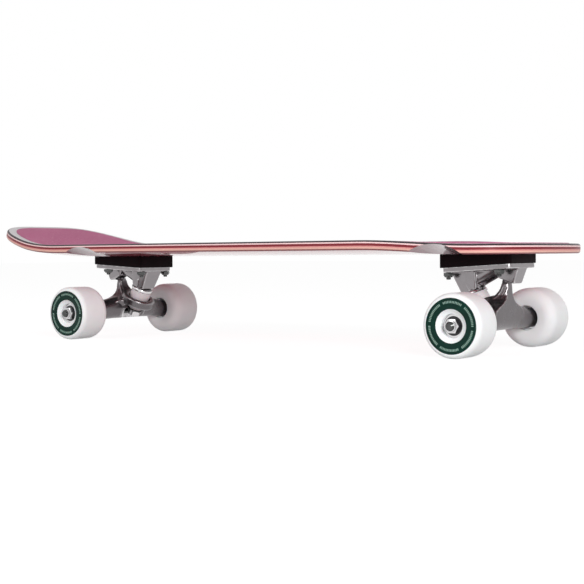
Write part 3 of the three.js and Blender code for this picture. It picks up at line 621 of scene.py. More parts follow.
def deckOutline(inset):
    d = deckShape
    half = [(d["tailTip"], 0)]
    for k in range(1, d["tailPoints"] + 1):
        share = (k / d["tailPoints"]) ** d["tailCrowding"]
        half.append((d["tailTip"] + d["tailTaper"] * share, taperWidth(share, d["tailPowers"])))
    for k in range(d["nosePoints"], 0, -1):
        share = (k / d["nosePoints"]) ** d["noseCrowding"]
        half.append((d["noseTip"] - d["noseTaper"] * share, taperWidth(share, d["nosePowers"])))
    half.append((d["noseTip"], 0))
    loop = half + [(s, -y) for s, y in reversed(half[1:-1])]
    points = []
    for k, (s, y) in enumerate(loop):
        before, after = loop[k - 1], loop[(k + 1) % len(loop)]
        along, out = after[0] - before[0], after[1] - before[1]
        size = math.hypot(along, out)
        points.append((s + inset * out / size, y - inset * along / size))
    return points


def kickAt(s):
    d = deckShape
    beyond = max(0, d["kickStart"] - s)
    angle = min(beyond / d["kickRadius"], d["kickAngle"])
    straight = max(0, beyond - d["kickRadius"] * d["kickAngle"])
    x = max(s, d["kickStart"]) - d["kickRadius"] * math.sin(angle) - straight * math.cos(angle)
    rise = d["kickRadius"] * (1 - math.cos(angle)) + straight * math.sin(angle)
    return x, rise, angle


def concaveAt(s, y):
    d = deckShape
    share = max(0, abs(y) - d["flatHalfWidth"]) / (d["width"] / 2 - d["flatHalfWidth"])
    fade = max(s - d["noseFadeStart"], d["kickStart"] - s) / d["fadeLength"]
    fade = min(max(fade, 0), 1)
    return d["concaveRise"] * share * share * (1 - fade * fade * (3 - 2 * fade))


def bentPoint(s, y, height):
    x, rise, angle = kickAt(s)
    base = deckTop + concaveAt(s, y) + rise
    return Vector((boardMiddle + x + height * math.sin(angle), y, base + height * math.cos(angle)))


# Depth below the top face of a point on the bent deck
def plyDepth(point):
    d = deckShape
    x, y, z = point.x - boardMiddle, point.y, point.z
    s = x
    for _ in range(4):
        lift = deckTop + concaveAt(s, y)
        if x >= d["kickStart"]:
            return lift - z
        run = d["kickStart"] - x
        centre = lift + d["kickRadius"]
        angle = math.atan2(run, centre - z)
        if angle <= d["kickAngle"]:
            height = d["kickRadius"] - math.hypot(run, centre - z)
            s = d["kickStart"] - angle * d["kickRadius"]
        else:
            angle = d["kickAngle"]
            startRun = d["kickRadius"] * math.sin(angle)
            startRise = d["kickRadius"] * (1 - math.cos(angle))
            along = (run - startRun) * math.cos(angle) + (z - lift - startRise) * math.sin(angle)
            height = (z - lift - startRise) * math.cos(angle) - (run - startRun) * math.sin(angle)
            s = d["kickStart"] - d["kickRadius"] * angle - along
    return -height


def deckSlab(top, bottom, inset, radius, segments):
    d = deckShape
    cell = d["cell"]
    bm = bmesh.new()
    rim = [bm.verts.new((s, y, top)) for s, y in deckOutline(inset)]
    face = bm.faces.new(rim)
    grown = bmesh.ops.extrude_face_region(bm, geom=[face])
    lower = [item for item in grown["geom"] if isinstance(item, bmesh.types.BMVert)]
    bmesh.ops.translate(bm, vec=(0, 0, bottom - top), verts=lower)
    bmesh.ops.recalc_face_normals(bm, faces=bm.faces)
    rims = [edge for edge in bm.edges if abs(edge.verts[0].co.z - edge.verts[1].co.z) < 1e-6]
    bevelEdges(bm, rims, radius, segments, clamp=False)
    length = d["noseTip"] - d["tailTip"]
    cuts = [((d["tailTip"] + k * cell, 0, 0), (1, 0, 0)) for k in range(1, int(length / cell) + 1)]
    across = int(d["width"] / 2 / cell)
    cuts += [((0, k * cell, 0), (0, 1, 0)) for k in range(-across, across + 1)]
    for place, normal in cuts:
        bmesh.ops.bisect_plane(bm, geom=bm.verts[:] + bm.edges[:] + bm.faces[:], dist=1e-4,
                               plane_co=place, plane_no=normal)
    bmesh.ops.triangulate(bm, faces=[face for face in bm.faces if len(face.verts) > 4])
    for vert in bm.verts:
        vert.co = bentPoint(*vert.co)
    return bm


boltShape = {
    "along": (-44.3, 9.7),
    "across": 41.3,
    "radius": 2.4,
    "headRadius": 4.5,
    "headDepth": 3,
    "headRise": 0.75,
    "clearance": 0.3,
    "drive": {"halfLength": 2.3, "halfWidth": 0.42, "depth": 1.6, "edge": 0.15},
    "tipReach": 2.2,
    "gripHoleRadius": 5.2,
}
boltPlaces = []
for end in ends:
    for row, x in zip(("inner", "outer"), boltShape["along"]):
        for side, facingSide in sides.items():
            boltPlaces.append((f"{end}_{row}_{side}", axleAt[end] + facing[end] * x,
                               facingSide * boltShape["across"] / 2, end, x))


def wellCutter(x, side, lowered):
    w = wellShape
    half = deckShape["width"] / 2
    top = deckTop + deckShape["concaveRise"] - w["topBelowSurface"] - lowered
    bm = bmesh.new()
    length = half + w["overrun"]
    bmesh.ops.create_cone(bm, cap_ends=True, segments=w["segments"], radius1=w["radius"],
                          radius2=w["radius"], depth=length)
    place = (Matrix.Translation((x, side * half, top)) @ Matrix.Rotation(side * w["tilt"], 4, "X")
             @ Matrix.Translation((0, 0, -w["radius"])) @ Matrix.Rotation(-side * math.pi / 2, 4, "X")
             @ Matrix.Translation((0, 0, w["overrun"] - length / 2)))
    moved(bm, place)
    for cutFace in bm.faces:
        cutFace.material_index = 2
    return bm


wellShape = {
    "radius": 52,
    "topBelowSurface": 3.2,
    "tilt": math.radians(13),
    "insets": {"front": 17, "rear": 26},
    "lowered": {"front": 1.5, "rear": 0},
    "overrun": 4,
    "segments": 160,
}

deckBm = deckSlab(0, -deckShape["thickness"], 0, deckShape["edgeRadius"], deckShape["edgeSegments"])
for end in ends:
    for side in sides.values():
        x = axleAt[end] - facing[end] * wellShape["insets"][end]
        deckBm = carved(deckBm, wellCutter(x, side, wellShape["lowered"][end]))
shank = boltShape["radius"] + boltShape["clearance"]
head = boltShape["headRadius"] + boltShape["clearance"]
for _, x, y, _, _ in boltPlaces:
    hole = addSpun([
        (0, deckLow - 2), (shank, deckLow - 2), (shank, deckTop - boltShape["headDepth"]),
        (head, deckTop), (head, deckTop + 6), (0, deckTop + 6)], 32)
    deckBm = carved(deckBm, moved(hole, Matrix.Translation((x, y, 0))))
depthLayer = deckBm.verts.layers.float.new("plyHeight")
for vert in deckBm.verts:
    vert[depthLayer] = min(max(plyDepth(vert.co), 0), deckShape["thickness"])
for face in deckBm.faces:
    if min(vert[depthLayer] for vert in face.verts) > deckShape["thickness"] - 0.05:
        face.material_index = 1
deck = evenShading(makePiece("deckBoard", deckBm, "board", [plies, stain, wellStainShaded], ["deck"],
                             sharpAngle=20))
print("deck ready:", len(deck.data.polygons), "faces")

gripShape = {"top": 0.75, "bottom": 0.05, "border": 11, "edgeRadius": 0.2, "edgeSegments": 2}
gripBm = deckSlab(*gripShape.values())
for _, x, y, _, _ in boltPlaces:
    gripBm = carved(gripBm, moved(rod(boltShape["gripHoleRadius"], deckTop - 2, deckTop + 8, 32),
                                  Matrix.Translation((x, y, 0))))
evenShading(makePiece("gripSheet", gripBm, "board", [grit], ["grip_sheet"]))
print("grip sheet ready")


# Heights up the kingpin, from the foot nearest the axle
stack = {
    "seat": 36.9,
    "seatWasher": (34.55, 36.75),
    "upperBushing": (22.2, 34.4),
    "yoke": (14.25, 22.05),
    "lowerBushing": (8.6, 14.1),
    "footWasher": (6.75, 8.45),
    "nut": (0.4, 6.6),
    "tip": -0.9,
    "headLow": 55.37,
    "headDepth": 4,
}
# Distances along the axle from the middle of the truck
reach = {
    "hangerEnd": 67,
    "innerWasher": (67.15, 68.15),
    "innerBearing": (68.3, 75.3),
    "outerBearing": (85.6, 92.6),
    "outerWasher": (92.75, 93.75),
    "nut": (93.75, 97.35),
    "collar": (97.35, 99.35),
    "tip": 102.5,
    "wheel": (58.2, 98.2),
}


def arc(centreRadius, centreHeight, alongRadius, alongHeight, start, finish, count):
    points = []
    for k in range(count + 1):
        turn = math.radians(start + (finish - start) * k / count)
        points.append((centreRadius + alongRadius * math.cos(turn),
                       centreHeight + alongHeight * math.sin(turn)))
    return points


# Places a shape drawn along Z on an axle, pointing to the board's left or right
def axlePlace(end, side):
    return (Matrix.Translation((axleAt[end], 0, axleHeight))
            @ Matrix.Rotation(-side * math.pi / 2, 4, "X"))


wheelShape = {
    "radius": 30,
    "faceRadius": 26,
    "lipDepth": 5.5,
    "backRadius": 19,
    "backDepth": 11,
    "dishRadius": 15.3,
    "dishDepth": 2.6,
    "seatRadius": 11.05,
    "hubRadius": 8,
    "backDishRadius": 12.4,
    "backDishDepth": 5.5,
    "steps": 96,
}


def makeWheelShape():
    w = wheelShape
    back, face = reach["wheel"]
    inner, outer = reach["innerBearing"], reach["outerBearing"]
    dish, seat, hub, backDish = w["dishRadius"], w["seatRadius"], w["hubRadius"], w["backDishRadius"]
    dishFloor, backFloor = face - w["dishDepth"], back + w["backDishDepth"]
    profile = arc(w["backRadius"], back + w["backDepth"],
                  w["radius"] - w["backRadius"], w["backDepth"], -90, 0, 14)
    profile += arc(w["faceRadius"], face - w["lipDepth"],
                   w["radius"] - w["faceRadius"], w["lipDepth"], 0, 90, 10)
    profile += [
        (dish + 0.5, face), (dish + 0.15, face - 0.12), (dish - 0.15, face - 0.5), (dish - 0.6, face - 0.9),
        (seat + 0.5, dishFloor + 0.1), (seat + 0.1, dishFloor - 0.1), (seat, dishFloor - 0.5),
        (seat, outer[0] - 0.15), (hub, outer[0] - 0.15), (hub, inner[1] + 0.15), (seat, inner[1] + 0.15),
        (seat, backFloor + 0.5), (seat + 0.4, backFloor), (backDish - 0.2, backFloor - 0.3),
        (backDish, back + 0.7), (backDish + 0.2, back + 0.2), (backDish + 0.7, back),
    ]
    bm = addSpun(profile, w["steps"], closed=True)
    flat = bm.loops.layers.uv.new("facePrint")
    for face in bm.faces:
        middle = face.calc_center_median()
        printed = middle.z > reach["wheel"][1] - 1.6 and math.hypot(middle.x, middle.y) > w["seatRadius"] + 1
        for loop in face.loops:
            point = loop.vert.co if printed else Vector((0, 0, 0))
            loop[flat].uv = (point.x / w["radius"] / 2 + 0.5, point.y / w["radius"] / 2 + 0.5)
    return bm


bearingShape = {"outer": 11, "ringWall": 2.0, "innerRing": 5.7, "bore": 4.05, "recess": 0.45, "steps": 64}


def makeBearingShape(low, high):
    b = bearingShape
    outer, inside, innerRing, bore = b["outer"], b["outer"] - b["ringWall"], b["innerRing"], b["bore"]
    recess = b["recess"]
    profile = [
        (outer, low + 0.4), (outer, high - 0.4), (outer - 0.35, high), (inside, high),
        (inside - 0.1, high - recess), (innerRing + 0.1, high - recess * 0.7), (innerRing, high),
        (bore + 0.3, high), (bore, high - 0.3), (bore, low + 0.3), (bore + 0.3, low),
        (innerRing, low), (innerRing + 0.1, low + recess * 0.7), (inside - 0.1, low + recess),
        (inside, low), (outer - 0.35, low),
    ]
    bm = addSpun(profile, b["steps"], closed=True)
    for face in bm.faces:
        middle = face.calc_center_median()
        if innerRing < math.hypot(middle.x, middle.y) < inside and abs(face.normal.z) > 0.9:
            face.material_index = 1
    return bm


axleShape = {"radius": 4, "washerRadius": 6, "pitch": 1.05, "nutFlats": 12.7, "collarRadius": 5.35}


def makeAxleShape():
    radius, washerRadius = axleShape["radius"], axleShape["washerRadius"]
    low, high = reach["innerWasher"]
    threadStart = reach["outerWasher"][1]
    tip = reach["tip"]
    root = radius - 0.3
    half = [
        (radius, low), (washerRadius - 0.2, low), (washerRadius, low + 0.2), (washerRadius, high - 0.2),
        (washerRadius - 0.2, high), (radius, high), (radius, threadStart), (root, threadStart + 0.4),
        (root, tip - 0.9), (root - 0.9, tip), (0, tip),
    ]
    shapes = [addSpun([(across, -along) for across, along in reversed(half)] + half, 48)]
    for turn in (0, math.pi):
        ridge = threadRidge(root, reach["collar"][0], tip - 1.1, axleShape["pitch"], 0.28)
        shapes.append(moved(ridge, Matrix.Rotation(turn, 4, "X")))
    return joined(shapes)


def makeAxleNutShape():
    a = axleShape
    bore, outer = a["radius"] + 0.05, a["collarRadius"]
    low, high = reach["collar"]
    collar = addSpun([
        (bore, low - 0.3), (outer + 0.3, low - 0.3), (outer + 0.1, low + 0.2), (outer, high - 0.7),
        (outer - 0.25, high - 0.2), (outer - 0.8, high), (a["radius"] + 0.5, high), (bore, high - 0.3)],
        48, closed=True)
    flange = washer(a["radius"] + 0.1, a["washerRadius"], *reach["outerWasher"], 0.2, 48)
    return joined([flange, hexNut(a["nutFlats"], *reach["nut"], bore, 0.8), collar])


wheelBm = makeWheelShape()
outerBearingBm = makeBearingShape(*reach["outerBearing"])
innerBearingBm = makeBearingShape(*reach["innerBearing"])
axleNutBm = makeAxleNutShape()
for end in ends:
    for sideName, side in sides.items():
        roller = f"{end}_{sideName}_roller"
        node = f"{end}_{sideName}"
        place = axlePlace(end, side)
        makePiece(f"{node}_tyre", wheelBm.copy(), roller, [wheelUrethane], [f"{node}_wheel"], place)
        for bearingName, bearingBm in (("outer", outerBearingBm), ("inner", innerBearingBm)):
            makePiece(f"{node}_{bearingName}_race", bearingBm.copy(), roller, [brightSteel, blackShield],
                      [f"{node}_{bearingName}_bearing"], place)
        makePiece(f"{node}_locknut", axleNutBm.copy(), f"{end}_truck", [brightSteel],
                  [f"{node}_axle_nut"], place)
    makePiece(f"{end}_axle_rod", makeAxleShape(), f"{end}_truck", [dullSteel], [f"{end}_axle"],
              axlePlace(end, 1))
for bm in (wheelBm, outerBearingBm, innerBearingBm, axleNutBm):
    bm.free()
print("wheels, bearings and axles ready")


# Riser: a wedge block with round corners, thicker towards the middle of the board
plateShape = {
    "length": 75,
    "inboard": -50,
    "halfWidth": 28,
    "corner": 5,
    "top": axleHeight + 51,
    "thickness": 4.4,
    "inset": 1.8,
    "wedgeAngle": math.atan2(13.2 - 8.8, 75),
    "riserTop": deckLow - 0.05,
    "riserEdge": 0.7,
    "riserCorner": 4,
    "riserMargins": (0.5, 1.7),
    "holeRadius": 2.7,
}
platePlace = (Matrix.Translation((plateShape["inboard"], 0, plateShape["top"]))
              @ Matrix.Rotation(-plateShape["wedgeAngle"], 4, "Y"))


def cornerBlock(low, high, corner):
    bm = block(low, high)
    upright = [edge for edge in bm.edges if abs(edge.verts[0].co.z - edge.verts[1].co.z) > 1e-3]
    bevelEdges(bm, upright, corner, 8)
    return bm


def boltHoles(bm, low, high, radius):
    for x in boltShape["along"]:
        for y in (-boltShape["across"] / 2, boltShape["across"] / 2):
            bm = carved(bm, moved(rod(radius, low, high, 24), Matrix.Translation((x, y, 0))))
    return bm


def makeRiserShape():
    p = plateShape
    along, across = p["riserMargins"]
    low = (p["inboard"] - along, -p["halfWidth"] - across, p["top"] - 10)
    high = (p["inboard"] + p["length"] + along, p["halfWidth"] + across, p["riserTop"])
    bm = cornerBlock(low, high, p["riserCorner"])
    place = platePlace @ Matrix.Translation((0, 0, 0.15))
    normal = place.to_3x3() @ Vector((0, 0, -1))
    sliced = bmesh.ops.bisect_plane(bm, geom=bm.verts[:] + bm.edges[:] + bm.faces[:], dist=1e-4,
                                    plane_co=place.translation, plane_no=normal, clear_outer=True)
    bmesh.ops.edgenet_fill(bm, edges=[e for e in sliced["geom_cut"] if isinstance(e, bmesh.types.BMEdge)])
    bmesh.ops.recalc_face_normals(bm, faces=bm.faces)
    rims = [e for e in bm.edges if len(e.link_faces) == 2 and e.calc_face_angle(0) > 1]
    bevelEdges(bm, rims, p["riserEdge"], 3)
    return boltHoles(bm, 70, 110, p["holeRadius"])


castShape = {
    "voxel": 0.62,
    "softening": 3,
    "housing": {"top": (-48.2, -20, 13, 50), "foot": (-36, -20, 10.2, 25.4)},
    "pivot": {"top": (0, 25, 10.2, 52), "foot": (1.7, 19.4, 8.9, 35.8), "footStep": 5.8},
    "bossRadius": 11.8,
    "ridge": (5.9, 10.2, 34, 9),
    "edge": 1.4,
    "kingpinBore": (4.95, 20, 60, 32),
    "seatCut": ((-30, -30, 0), (16, 30, stack["seat"])),
    "cupBore": (6.45, 34, 49.05, 48),
}


def rectangle(inboard, outboard, halfWidth, inboardRise, outboardRise):
    return [
        (inboard, -halfWidth, axleHeight + inboardRise), (outboard, -halfWidth, axleHeight + outboardRise),
        (outboard, halfWidth, axleHeight + outboardRise), (inboard, halfWidth, axleHeight + inboardRise),
    ]


def halfSpace(place):
    far = 200
    return moved(block((-far, -far, 0), (far, far, far)), place)


def footedBlock(top, foot, footStep=0):
    inboard, outboard, halfWidth, rise = foot
    bm = lofted([rectangle(inboard, outboard, halfWidth, rise + footStep, rise), rectangle(*top, top[3])])
    bevelEdges(bm, bm.edges, castShape["edge"], 2)
    return bm


def makeBaseplateShape():
    p, c = plateShape, castShape
    flange = moved(cornerBlock((p["inset"], -p["halfWidth"], -p["thickness"]),
                               (p["length"], p["halfWidth"], 3), p["corner"]), platePlace)
    housing, pivot = footedBlock(**c["housing"]), footedBlock(**c["pivot"])
    boss = carved(rod(c["bossRadius"], stack["seat"], 55, 64, 0.8), block((-50, -50, -50), (0, 50, 90)))
    ridgeStart, startRadius, ridgeEnd, endRadius = c["ridge"]
    ridge = addSpun([(0, ridgeStart), (startRadius, ridgeStart), (endRadius, ridgeEnd), (0, ridgeEnd)], 64)
    lying = (Matrix.Translation((0, 0, stack["seat"] + startRadius + 0.15))
             @ Matrix.Rotation(math.pi / 2, 4, "Y"))
    moved(ridge, kingpinPlace @ lying)
    skins = [flange, housing, pivot, moved(boss, kingpinPlace), ridge]
    whole = castTogether(skins, c["voxel"], c["softening"])
    whole = carvedBy(whole, halfSpace(platePlace), moved(rod(*c["kingpinBore"]), kingpinPlace),
                     moved(block(*c["seatCut"]), kingpinPlace), moved(rod(*c["cupBore"]), steerPlace))
    return boltHoles(whole, 60, 100, p["holeRadius"])


hangerShape = {
    "voxel": 0.64,
    "softening": 5,
    "endRadius": 9.8,
    "endLength": 8,
    "shoulder": 24,
    "shoulderRise": 3.7,
    "shoulderHeight": 12.7,
    "shoulderDepth": 11.5,
    "yokeRadius": 19.5,
    "yokeEdge": 2.6,
    "mouthHalfWidth": 20,
    "mouthDepth": 4.5,
    "rimInner": 13.6,
    "rimRise": 2.6,
    "neckHalfWidth": 16.5,
    "neckRootHalfWidth": 36,
    "neckRootHeight": 12,
    "neckInset": 1.5,
    "neckRows": [(-0.3, 0, 0), (0, 0.02, 0.06), (0.3, 0.1, 0.26), (0.6, 0.32, 0.55), (0.85, 0.66, 0.85),
                 (1, 1, 1)],
    "stemChamfer": 1.5,
    "stemRows": [
        (5.84, -6.5, 11.5, 32), (11, -11, 11.5, 28.5), (13.87, -12, 11.5, 24), (17.52, -12, 11.4, 14.6),
        (21, -12, 11.6, 9.6),
        (25, -8, 11.6, 7), (29.9, -2, 11.5, 5.6), (36.5, 0, 11.5, 5),
    ],
    "archMiddle": (-14.5, 69),
    "archRadius": 18.8,
    "grooves": ((21.7, 0.9, -0.9), (24.2, 1.1, 0.4), (26.6, 0.8, -0.6)),
    "grooveZone": ((-12, 12.5), (46, 66)),
    "pivotRadius": 4.4,
    "pivotReach": 47,
    "pivotShoulder": 40.7,
    "kingpinBore": (8.2, -10, 30, 48),
    "washerRecess": (11, stack["footWasher"][0], stack["yoke"][0], 48),
    "nutPocket": ((-21.5, -12.7, -30), (9, 12.7, stack["footWasher"][1]), 1.5, 3),
    "mouthTop": 7.6,
    "axleBore": (4.1, -70, 70, 32),
}


def beamRings():
    h = hangerShape
    steps, sides = 10, 40
    rows = []
    for k in range(steps + 1):
        share = k / steps
        y = h["shoulder"] + (reach["hangerEnd"] - h["endLength"] - h["shoulder"]) * share
        rows.append((y, h["shoulderDepth"] + (h["endRadius"] - h["shoulderDepth"]) * share,
                     h["shoulderHeight"] + (h["endRadius"] - h["shoulderHeight"]) * share,
                     h["shoulderRise"] * (1 - share)))
    rows.append((reach["hangerEnd"], h["endRadius"], h["endRadius"], 0))
    angles = [fullTurn * i / sides for i in range(sides)]
    return [[(depth * math.sin(angle), y, axleHeight + rise + height * math.cos(angle)) for angle in angles]
            for y, depth, height, rise in [(-y, *rest) for y, *rest in reversed(rows)] + rows]


def stemRings():
    h = hangerShape
    rings = []
    for rise, low, high, half in h["stemRows"]:
        z = axleHeight + rise
        cut = h["stemChamfer"]
        near, far = half - cut, high - cut
        rings.append([
            (low, -near, z), (low + cut, -half, z), (far, -half, z), (high, -near, z),
            (high, near, z), (far, half, z), (low + cut, half, z), (low, near, z)])
    return rings


# Two curved grooves with a rib between them follow the arch on both sides of the stem
def addGrooves(bm):
    h = hangerShape
    middleX, middleZ = h["archMiddle"]
    (lowX, highX), (lowZ, highZ) = h["grooveZone"]
    bm.normal_update()
    for vert in bm.verts:
        x, y, z = vert.co
        if not (lowX < x < highX and lowZ < z < highZ and abs(vert.normal.y) > 0.25 and abs(y) > 3):
            continue
        radius = math.hypot(x - middleX, z - middleZ)
        fade = min(1, (z - lowZ) / 6, (highZ - z) / 4)
        lift = sum(height * math.exp(-((radius - centre) / width) ** 2)
                   for centre, width, height in h["grooves"])
        vert.co.y += math.copysign(lift * fade, y)
    bmesh.ops.smooth_vert(bm, verts=bm.verts, factor=0.5, use_axis_x=True, use_axis_y=True, use_axis_z=True)
    return bm


def makeHangerShape():
    h = hangerShape
    low, high = stack["yoke"]
    rim, edge = h["yokeRadius"], h["yokeEdge"]
    top = high + h["rimRise"]
    rimInner = h["rimInner"]
    yokeProfile = [(0, low), *arc(rim - edge, low + edge, edge, edge, -90, 0, 8),
                   *arc(rim - edge, top - edge, edge, edge, 0, 90, 8),
                   (rimInner + 0.4, top), (rimInner, top - 0.4), (rimInner, high), (0, high)]
    yoke = addSpun(yokeProfile, 72)
    x = kingpinSetback
    half, rootHalf, inset = h["neckHalfWidth"], h["neckRootHalfWidth"], h["neckInset"]
    neckRings = []
    for share, widthShare, drop in h["neckRows"]:
        wide = half + (rootHalf - half) * widthShare
        under = (low + inset) * (1 - drop)
        over = high - inset + (h["neckRootHeight"] - high + inset) * drop
        neckRings.append([(x * share, -wide, under), (x * share, wide, under), (x * share, wide, over),
                          (x * share, -wide, over)])
    neck = lofted(neckRings)
    shoulder = steerPlace @ Matrix.Translation((0, 0, h["pivotShoulder"]))
    archX, archZ = h["archMiddle"]
    acrossBoard = Matrix.Rotation(math.pi / 2, 4, "X")
    arch = moved(rod(h["archRadius"], -40, 40, 96), Matrix.Translation((archX, 0, archZ)) @ acrossBoard)
    stem = carvedBy(lofted(stemRings()), halfSpace(shoulder), arch)
    pin = moved(rod(h["pivotRadius"], 34, h["pivotReach"], 40, 1.2), steerPlace)
    skins = [lofted(beamRings()), moved(yoke, kingpinPlace), moved(neck, kingpinPlace), stem, pin]
    whole = castTogether(skins, h["voxel"], h["softening"])
    mouth = block((-24, -h["mouthHalfWidth"], -30),
                  (h["mouthDepth"], h["mouthHalfWidth"], h["mouthTop"]), 3, 4)
    cuts = [rod(*h["kingpinBore"]), rod(*h["washerRecess"]), block(*h["nutPocket"]), mouth]
    bore = moved(rod(*h["axleBore"]), Matrix.Translation((0, 0, axleHeight)) @ acrossBoard)
    return carvedBy(addGrooves(whole), *(moved(cut, kingpinPlace) for cut in cuts), bore)


riserBm = makeRiserShape()
baseplateBm = makeBaseplateShape()
print("baseplate ready:", len(baseplateBm.faces), "faces")
hangerBm = makeHangerShape()
print("hanger ready:", len(hangerBm.faces), "faces")
for end in ends:
    place = truckPlace(end)
    makePiece(f"{end}_riser_pad", riserBm.copy(), "board", [rubber], [f"{end}_riser"], place)
    makePiece(f"{end}_plate_casting", baseplateBm.copy(), "board", [castAlloy],
              [f"{end}_baseplate"], place, sharpAngle=60)
    makePiece(f"{end}_hanger_casting", hangerBm.copy(), f"{end}_truck", [hangerAlloy],
              [f"{end}_hanger"], place, sharpAngle=60)
for bm in (riserBm, baseplateBm, hangerBm):
    bm.free()
print("trucks' castings ready")


# Kingpin with its washers and bushings, the pivot cup and the mounting bolts
pinShape = {
    "radius": 4.75,
    "headRadius": 6.5,
    "nutFlats": 14.3,
    "seatWasherRadius": 12.6,
    "seatWasherLip": 1,
    "footWasherRadius": 8.8,
    "upperRadii": (11.2, 12, 11.2),
    "lowerRadii": (8, 9.5),
    "bore": 5.05,
    "yokeSideBore": 6.6,
    "pitch": 1.3,
}


def makeKingpinShape():
    radius, head = pinShape["radius"], pinShape["headRadius"]
    tip, (nutLow, nutHigh), headLow = stack["tip"], stack["nut"], stack["headLow"]
    root = radius - 0.3
    headTop = headLow + stack["headDepth"]
    pin = addSpun([
        (0, tip), (root - 0.9, tip), (root, tip + 0.9), (root, nutHigh), (radius, nutHigh + 0.4),
        (radius, headLow), (head, headLow), (head, headTop - 0.6), (head - 0.6, headTop), (0, headTop)], 48)
    return joined([pin, threadRidge(root, tip + 0.2, nutLow + 1.5, pinShape["pitch"], 0.3)])


def makeSeatWasherShape():
    low, high = stack["seatWasher"]
    bore, radius = pinShape["bore"], pinShape["seatWasherRadius"]
    inner, foot = radius - pinShape["seatWasherLip"], low - pinShape["seatWasherLip"]
    return addSpun([
        (bore, low), (inner - 0.6, low), (inner, low - 0.4), (inner, foot + 0.2), (inner + 0.3, foot),
        (radius - 0.3, foot), (radius, foot + 0.4), (radius, high - 1), (radius - 0.35, high - 0.3),
        (radius - 1.1, high), (bore, high)], 64, closed=True)


def makeUpperBushingShape():
    low, high = stack["upperBushing"]
    waist, belly, top = pinShape["upperRadii"]
    profile = [(pinShape["yokeSideBore"], low), (waist - 0.5, low), (waist, low + 0.5)]
    for k in range(1, 8):
        share = k / 8
        profile.append((waist + (belly - waist) * math.sin(math.pi * share),
                        low + 0.5 + (high - low - 1) * share))
    profile += [(top, high - 0.5), (top - 0.5, high), (pinShape["bore"], high), (pinShape["bore"], high - 1)]
    return addSpun(profile, 64, closed=True)


def makeLowerBushingShape():
    low, high = stack["lowerBushing"]
    foot, top = pinShape["lowerRadii"]
    return addSpun([
        (pinShape["bore"], low), (foot - 0.4, low), (foot, low + 0.4), (top, high - 0.4), (top - 0.4, high),
        (pinShape["yokeSideBore"], high)], 64, closed=True)


cupShape = {"inner": 4.7, "outer": 6.25, "end": 47.3, "depth": 6, "wall": 1.6}


def makeCupShape():
    inner, outer, end, depth, wall = cupShape.values()
    return moved(addSpun([
        (outer, end - depth + 0.3), (outer, end + wall - 0.4), (outer - 0.4, end + wall), (0, end + wall),
        (0, end), (inner - 0.5, end), (inner, end - 0.5), (inner, end - depth), (outer - 0.3, end - depth)],
        48), steerPlace)


# Heights on the kingpin where each bushing still rests on the board's side and where it follows the yoke
softSpans = {
    "upper_bushing": (stack["upperBushing"][1] - 0.6, stack["upperBushing"][0] + 0.3),
    "lower_bushing": (stack["lowerBushing"][0] + 0.3, stack["lowerBushing"][1] - 0.3),
}
for end in ends:
    place = truckPlace(end)
    onPin = place @ kingpinPlace
    footWasher = washer(pinShape["bore"], pinShape["footWasherRadius"], *stack["footWasher"], 0.4, 64)
    truckPieces = [
        ("kingpin_bolt", makeKingpinShape(), onPin, dullSteel, "steel", "kingpin"),
        ("kingpin_locknut", hexNut(pinShape["nutFlats"], *stack["nut"], pinShape["bore"] - 0.3, 0.9), onPin,
         brightSteel, "steel", "kingpin_nut"),
        ("cup_washer", makeSeatWasherShape(), onPin, brightSteel, "steel", "upper_washer"),
        ("flat_washer", footWasher, onPin, dullSteel, "steel", "lower_washer"),
        ("barrel_bushing", makeUpperBushingShape(), onPin, bushingUrethane, "bushing", "upper_bushing"),
        ("cone_bushing", makeLowerBushingShape(), onPin, bushingUrethane, "bushing", "lower_bushing"),
        ("pivot_seat", makeCupShape(), place, cupRubber, "cup", "pivot_cup"),
    ]
    for name, bm, where, material, slot, node in truckPieces:
        bend = None
        if node in softSpans:
            points = [mm * (onPin @ Vector((0, 0, height))) for height in softSpans[node]]
            bend = (f"{end}_truck", *points)
        makePiece(f"{end}_{name}", bm, "board", [material], [f"{end}_{node}"], where, bend=bend)


lockNutShape = {"flats": 9.5, "height": 3.2, "collar": 1.2, "collarRadius": 4.2, "chamfer": 0.6, "pitch": 0.8}


def plateUnderside(x):
    p = plateShape
    rise = (x - p["inboard"]) * math.tan(p["wedgeAngle"])
    return p["top"] + rise - p["thickness"] / math.cos(p["wedgeAngle"])


def lockNutTop(x):
    corner = lockNutShape["flats"] / 2 / math.cos(math.pi / 6)
    return plateUnderside(x) - corner * math.tan(plateShape["wedgeAngle"]) - 0.1


def makeBoltShape(tip):
    b, drive = boltShape, boltShape["drive"]
    top = deckTop + b["headRise"]
    root, head = b["radius"] - 0.2, b["headRadius"]
    bolt = addSpun([
        (0, tip), (root - 0.5, tip), (root, tip + 0.5), (root, deckTop - b["headDepth"]),
        (head, deckTop - 0.05), (head, top - 0.35), (head - 0.3, top), (0, top)], 32)
    for turn in (0, math.pi / 2):
        slotCut = block((-drive["halfLength"], -drive["halfWidth"], top - drive["depth"]),
                        (drive["halfLength"], drive["halfWidth"], top + 1), drive["edge"], 2)
        bolt = carved(bolt, moved(slotCut, Matrix.Rotation(turn, 4, "Z")))
    thread = threadRidge(root, tip + 0.1, tip + b["tipReach"] + 2, lockNutShape["pitch"], 0.2, 16)
    return joined([bolt, thread])


def makeLockNutShape(top):
    n = lockNutShape
    hexLow = top - n["height"]
    low = hexLow - n["collar"]
    bore, outer = boltShape["radius"] + 0.05, n["collarRadius"]
    collar = addSpun([(bore, low + 0.2), (outer - 0.7, low), (outer - 0.2, low + 0.25),
                      (outer, hexLow + 0.2), (bore, hexLow + 0.2)], 32, closed=True)
    return joined([hexNut(n["flats"], hexLow, top, bore, n["chamfer"]), collar])


